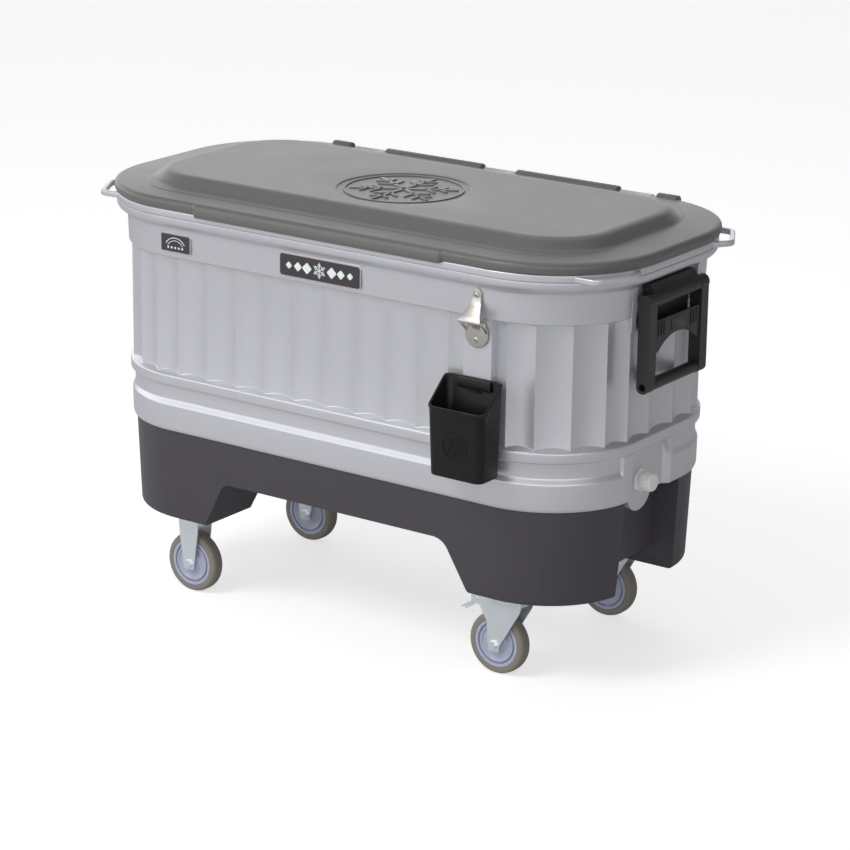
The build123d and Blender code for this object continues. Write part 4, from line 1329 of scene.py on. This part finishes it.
@dataclass
class Drain:
    """Ribbed cap, seal and spout of the drain."""

    y: float = -49.0
    z: float = 400.0
    ribs: int = 24
    rib_depth: float = 1.1

    def to_space(self, a: np.ndarray, b: np.ndarray, h: np.ndarray) -> Points:
        """Turns a ring's (a, b) about the drain's axis, with h along X."""
        return np.stack([h, self.y + a, self.z + b], -1)

    def build(self) -> None:
        """Makes the cap and dresses the rest."""
        line = np.array([(2.0, 614.2, 0), (13.5, 614.6, 0), (16.4, 614.4, 0), (17.4, 612.8, 0),
                         (17.6, 611.0, 0.2), (17.6, 609.5, 1), (17.6, 592.0, 1), (17.6, 590.6, 0.2),
                         (17.0, 589.4, 0), (14.4, 589.2, 0), (13.8, 590.0, 0), (13.8, 604.6, 0),
                         (2.0, 604.6, 0)])
        cap = lathe(line, 8 * self.ribs, self.to_space, ribs=self.ribs, depth=self.rib_depth, closed=False)
        make_piece("drain_cap_ribbed", [cap], DRAIN_WHITE, Body.DRAIN_CAP.value, ["drain_cap"],
                   crease=50)
        soften_node("drain_spout", DRAIN_WHITE, 0.8)
        dress_node("drain_nut", DRAIN_WHITE)
        dress_node("drain_seal", RUBBER_AND_SLOT_SHADE)


@dataclass
class Wheel:
    """One wheel: tyre with round shoulders, stepped hub and bearing sleeve."""

    name: str
    facets: int = 96

    def build(self) -> None:
        """Makes the tyre and the hub about the wheel's own axis."""
        low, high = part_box(f"tyre_{self.name}")
        middle = (np.array(low) + np.array(high)) / 2 / MM - SHIFT / MM

        def to_space(a: np.ndarray, b: np.ndarray, h: np.ndarray) -> Points:
            """Turns a ring's (a, b) about the axle, with h along it."""
            return np.stack([middle[0] + a, middle[1] + h, middle[2] + b], -1)

        tread = np.array([(49.2, -14.9), (56.0, -15.4), (61.4, -13.4), (63.2, -8.0), (63.5, 0.0), (63.2, 8.0),
                          (61.4, 13.4), (56.0, 15.4), (49.2, 14.9)])
        tread = soften(tread, [0.6, 3, 3, 3, 3, 3, 3, 3, 0.6], steps=4, closed=True)
        make_piece(f"tyre_{self.name}_round", [lathe(tread, self.facets, to_space)], TYRE,
                   f"wheel_{self.name}", [f"tyre_{self.name}"])
        half = [(9.05, 17.0), (14.0, 17.2), (14.6, 14.2), (21.0, 13.8), (23.0, 11.6), (32.5, 11.6),
                (35.0, 14.2), (38.8, 14.0), (39.4, 7.8), (42.0, 7.8), (42.6, 14.2), (48.9, 14.6)]
        line = np.array([(r, -y) for r, y in half] + [(r, y) for r, y in reversed(half)])
        cuts = [0.5, 1.2, 1.0, 1.0, 1.2, 1.2, 1.0, 0.7, 0.6, 0.6, 0.7, 0.7]
        line = soften(line, cuts + cuts[::-1], steps=3, closed=True)
        make_piece(f"hub_{self.name}_stepped", [lathe(line, self.facets, to_space)], HUB,
                   f"wheel_{self.name}", [f"wheel_hub_{self.name}"])
        dress_node(f"wheel_bearing_{self.name}", BEARING)


@dataclass
class Casters:
    """Two rigid and two swivelling casters with their bolts and brakes."""

    rigid: tuple[str, ...] = ("front_left", "rear_left")
    swivel: tuple[str, ...] = ("front_right", "rear_right")
    plate_edge: float = 0.8
    pressed_edge: float = 0.7
    bolt_edge: float = 0.5
    axle_edge: float = 0.6

    def build(self) -> None:
        """Softens the sheet-metal parts and makes the wheels."""
        for place in self.rigid:
            soften_node(f"caster_fork_{place}", ZINC, self.plate_edge)
        for place in self.swivel:
            soften_node(f"caster_plate_{place}", ZINC, self.plate_edge)
            soften_node(f"caster_yoke_{place}", ZINC, self.pressed_edge)
            soften_node(f"brake_pedal_{place}", ZINC, self.pressed_edge)
            dress_node(f"brake_pin_{place}", ZINC)
        soften_node("caster_bolts", ZINC, self.bolt_edge, 1)
        for place in self.rigid + self.swivel:
            soften_node(f"axle_bolt_{place}", ZINC, self.axle_edge)
            Wheel(place).build()


@dataclass
class Handles:
    """Two swing handles with their brackets and rods."""

    handle_edge: float = 2.4
    bracket_edge: float = 1.2

    def build(self) -> None:
        """Softens the moulded parts of both ends."""
        for side in ("right", "left"):
            soften_node(f"handle_{side}", HANDLE_BLACK, self.handle_edge, 3)
            soften_node(f"handle_bracket_{side}", HANDLE_BLACK, self.bracket_edge)
            dress_node(f"handle_pin_{side}", SCREW)
        dress_node("bin_hook", BLACK)


# ---------------------------------------------------------------- studio
@dataclass
class Studio:
    """Pale floor, soft light and the camera."""

    azimuth: float = 35.37
    elevation: float = 16.78
    roll: float = 0.67
    distance: float = 6.328
    target: tuple[float, float, float] = (0.0, 0.0, 0.45)
    lens: float = 131.5
    shift: tuple[float, float] = (0.0192, -0.0346)
    floor_albedo: float = 0.70
    floor_lift: float = 0.62
    horizon: float = 1.75
    ceiling: float = 0.28
    dim: float = 0.18
    dim_side: tuple[float, float, float] = (0.68, 0.73, 0.0)
    seen_sky: float = 1.02
    sky_colour: tuple[float, float, float] = (0.985, 0.99, 1.0)
    lamps: tuple[tuple[str, tuple[float, float, float], float, float], ...] = (
        ("key", (-1.2, -3.6, 4.3), 2.0, 95.0), ("top", (-0.6, 1.6, 4.0), 2.6, 14.0))

    def camera(self) -> None:
        """Puts the camera on a sphere about the target and turns it by its roll."""
        a, e, r = (math.radians(v) for v in (self.azimuth, self.elevation, self.roll))
        back = Vector((math.sin(a) * math.cos(e), -math.cos(a) * math.cos(e), math.sin(e)))
        side = Vector((math.cos(a), math.sin(a), 0.0))
        up = back.cross(side)
        right = side * math.cos(r) + up * math.sin(r)
        tilted = up * math.cos(r) - side * math.sin(r)
        data = bpy.data.cameras.new("camera")
        data.lens = self.lens
        data.sensor_width = 36.0
        data.shift_x, data.shift_y = self.shift
        camera = bpy.data.objects.new("camera", data)
        turn = Matrix((right, tilted, back)).transposed().to_4x4()
        at = Vector(self.target) + Vector(SHIFT) + back * self.distance
        camera.matrix_world = Matrix.Translation(at) @ turn
        bpy.context.scene.collection.objects.link(camera)
        bpy.context.scene.camera = camera

    def floor(self) -> None:
        """Wide pale floor at the wheels' height."""
        mesh = bpy.data.meshes.new("floor")
        reach = 30.0
        corners = [(-reach, -reach, 0), (reach, -reach, 0), (reach, reach, 0), (-reach, reach, 0)]
        mesh.from_pydata(corners, [], [(0, 1, 2, 3)])
        pale = bpy.data.materials.new("floor_pale")
        pale.use_nodes = True
        nodes, links = pale.node_tree.nodes, pale.node_tree.links
        shader = nodes["Principled BSDF"]
        shader.inputs["Base Color"].default_value = (*(self.floor_albedo,) * 3, 1)
        shader.inputs["Roughness"].default_value = 0.9
        shader.inputs["Specular IOR Level"].default_value = 0.1
        shader.inputs["Emission Color"].default_value = (1, 1, 1, 1)
        path = nodes.new("ShaderNodeLightPath")
        lift = nodes.new("ShaderNodeMath")
        lift.operation = "MULTIPLY"
        lift.inputs[1].default_value = self.floor_lift
        links.new(path.outputs["Is Camera Ray"], lift.inputs[0])
        links.new(lift.outputs[0], shader.inputs["Emission Strength"])
        mesh.materials.append(pale)
        floor = bpy.data.objects.new("floor", mesh)
        bpy.context.scene.collection.objects.link(floor)

    def lamp(self, name: str, at: tuple[float, float, float], size: float, power: float) -> None:
        """Square soft light that faces the cooler's middle.

        Args:
            name: the lamp's name.
            at: where it stands, in metres.
            size: its side, in metres.
            power: its power in watts.
        """
        data = bpy.data.lights.new(name, "AREA")
        data.shape = "SQUARE"
        data.size = size
        data.energy = power
        lamp = bpy.data.objects.new(name, data)
        lamp.location = at
        lamp.rotation_mode = "QUATERNION"
        lamp.rotation_quaternion = (Vector(at) - Vector(self.target)).to_track_quat("Z", "Y")
        bpy.context.scene.collection.objects.link(lamp)

    def build(self) -> None:
        """Sets camera, floor, sky and lamps."""
        self.camera()
        self.floor()
        self.sky()
        bpy.context.scene.view_settings.view_transform = "Standard"
        for lamp in self.lamps:
            self.lamp(*lamp)

    def sky(self) -> None:
        """White for the camera; otherwise bright near the horizon, dimmer above and towards one side."""
        world = bpy.data.worlds.new("studio")
        world.use_nodes = True
        nodes, links = world.node_tree.nodes, world.node_tree.links

        def ramp(value: bpy.types.NodeSocket, span: tuple[float, float],
                 result: tuple[float, float]) -> bpy.types.NodeSocket:
            """Carries a value's span smoothly over to a result's.

            Args:
                value: the socket that is read.
                span: its limits.
                result: what the limits turn into.

            Returns:
                The socket with the result.
            """
            node = nodes.new("ShaderNodeMapRange")
            node.interpolation_type = "SMOOTHSTEP"
            for word, number in zip(("From Min", "From Max", "To Min", "To Max"), span + result):
                node.inputs[word].default_value = number
            links.new(value, node.inputs["Value"])
            return node.outputs["Result"]

        here = nodes.new("ShaderNodeTexCoord")
        parts = nodes.new("ShaderNodeSeparateXYZ")
        away = nodes.new("ShaderNodeVectorMath")
        away.operation = "DOT_PRODUCT"
        away.inputs[1].default_value = self.dim_side
        links.new(here.outputs["Generated"], parts.inputs[0])
        links.new(here.outputs["Generated"], away.inputs[0])
        product = nodes.new("ShaderNodeMath")
        product.operation = "MULTIPLY"
        height = ramp(parts.outputs["Z"], (0.2, 0.6), (self.horizon, self.ceiling))
        aside = ramp(away.outputs["Value"], (0.1, 0.8), (1.0, self.dim))
        links.new(height, product.inputs[0])
        links.new(aside, product.inputs[1])
        path = nodes.new("ShaderNodeLightPath")
        seen = nodes.new("ShaderNodeMix")
        seen.data_type = "FLOAT"
        links.new(path.outputs["Is Camera Ray"], seen.inputs["Factor"])
        links.new(product.outputs[0], seen.inputs["A"])
        seen.inputs["B"].default_value = self.seen_sky
        sky = nodes["Background"]
        sky.inputs["Color"].default_value = (*self.sky_colour, 1)
        links.new(seen.outputs["Result"], sky.inputs["Strength"])
        bpy.context.scene.world = world


def main() -> None:
    """Builds the studio and every sub-assembly, and reports each."""
    logging.basicConfig(level=logging.INFO, format="%(name)s: %(message)s")
    for part in (Studio(), Tub(), Lid(), Base(), CatchBin(), Opener(), Badges(), Drain(), Casters(),
                 Handles()):
        part.build()
        LOG.info("built %s", type(part).__name__)


if __name__ == "__main__":
    main()
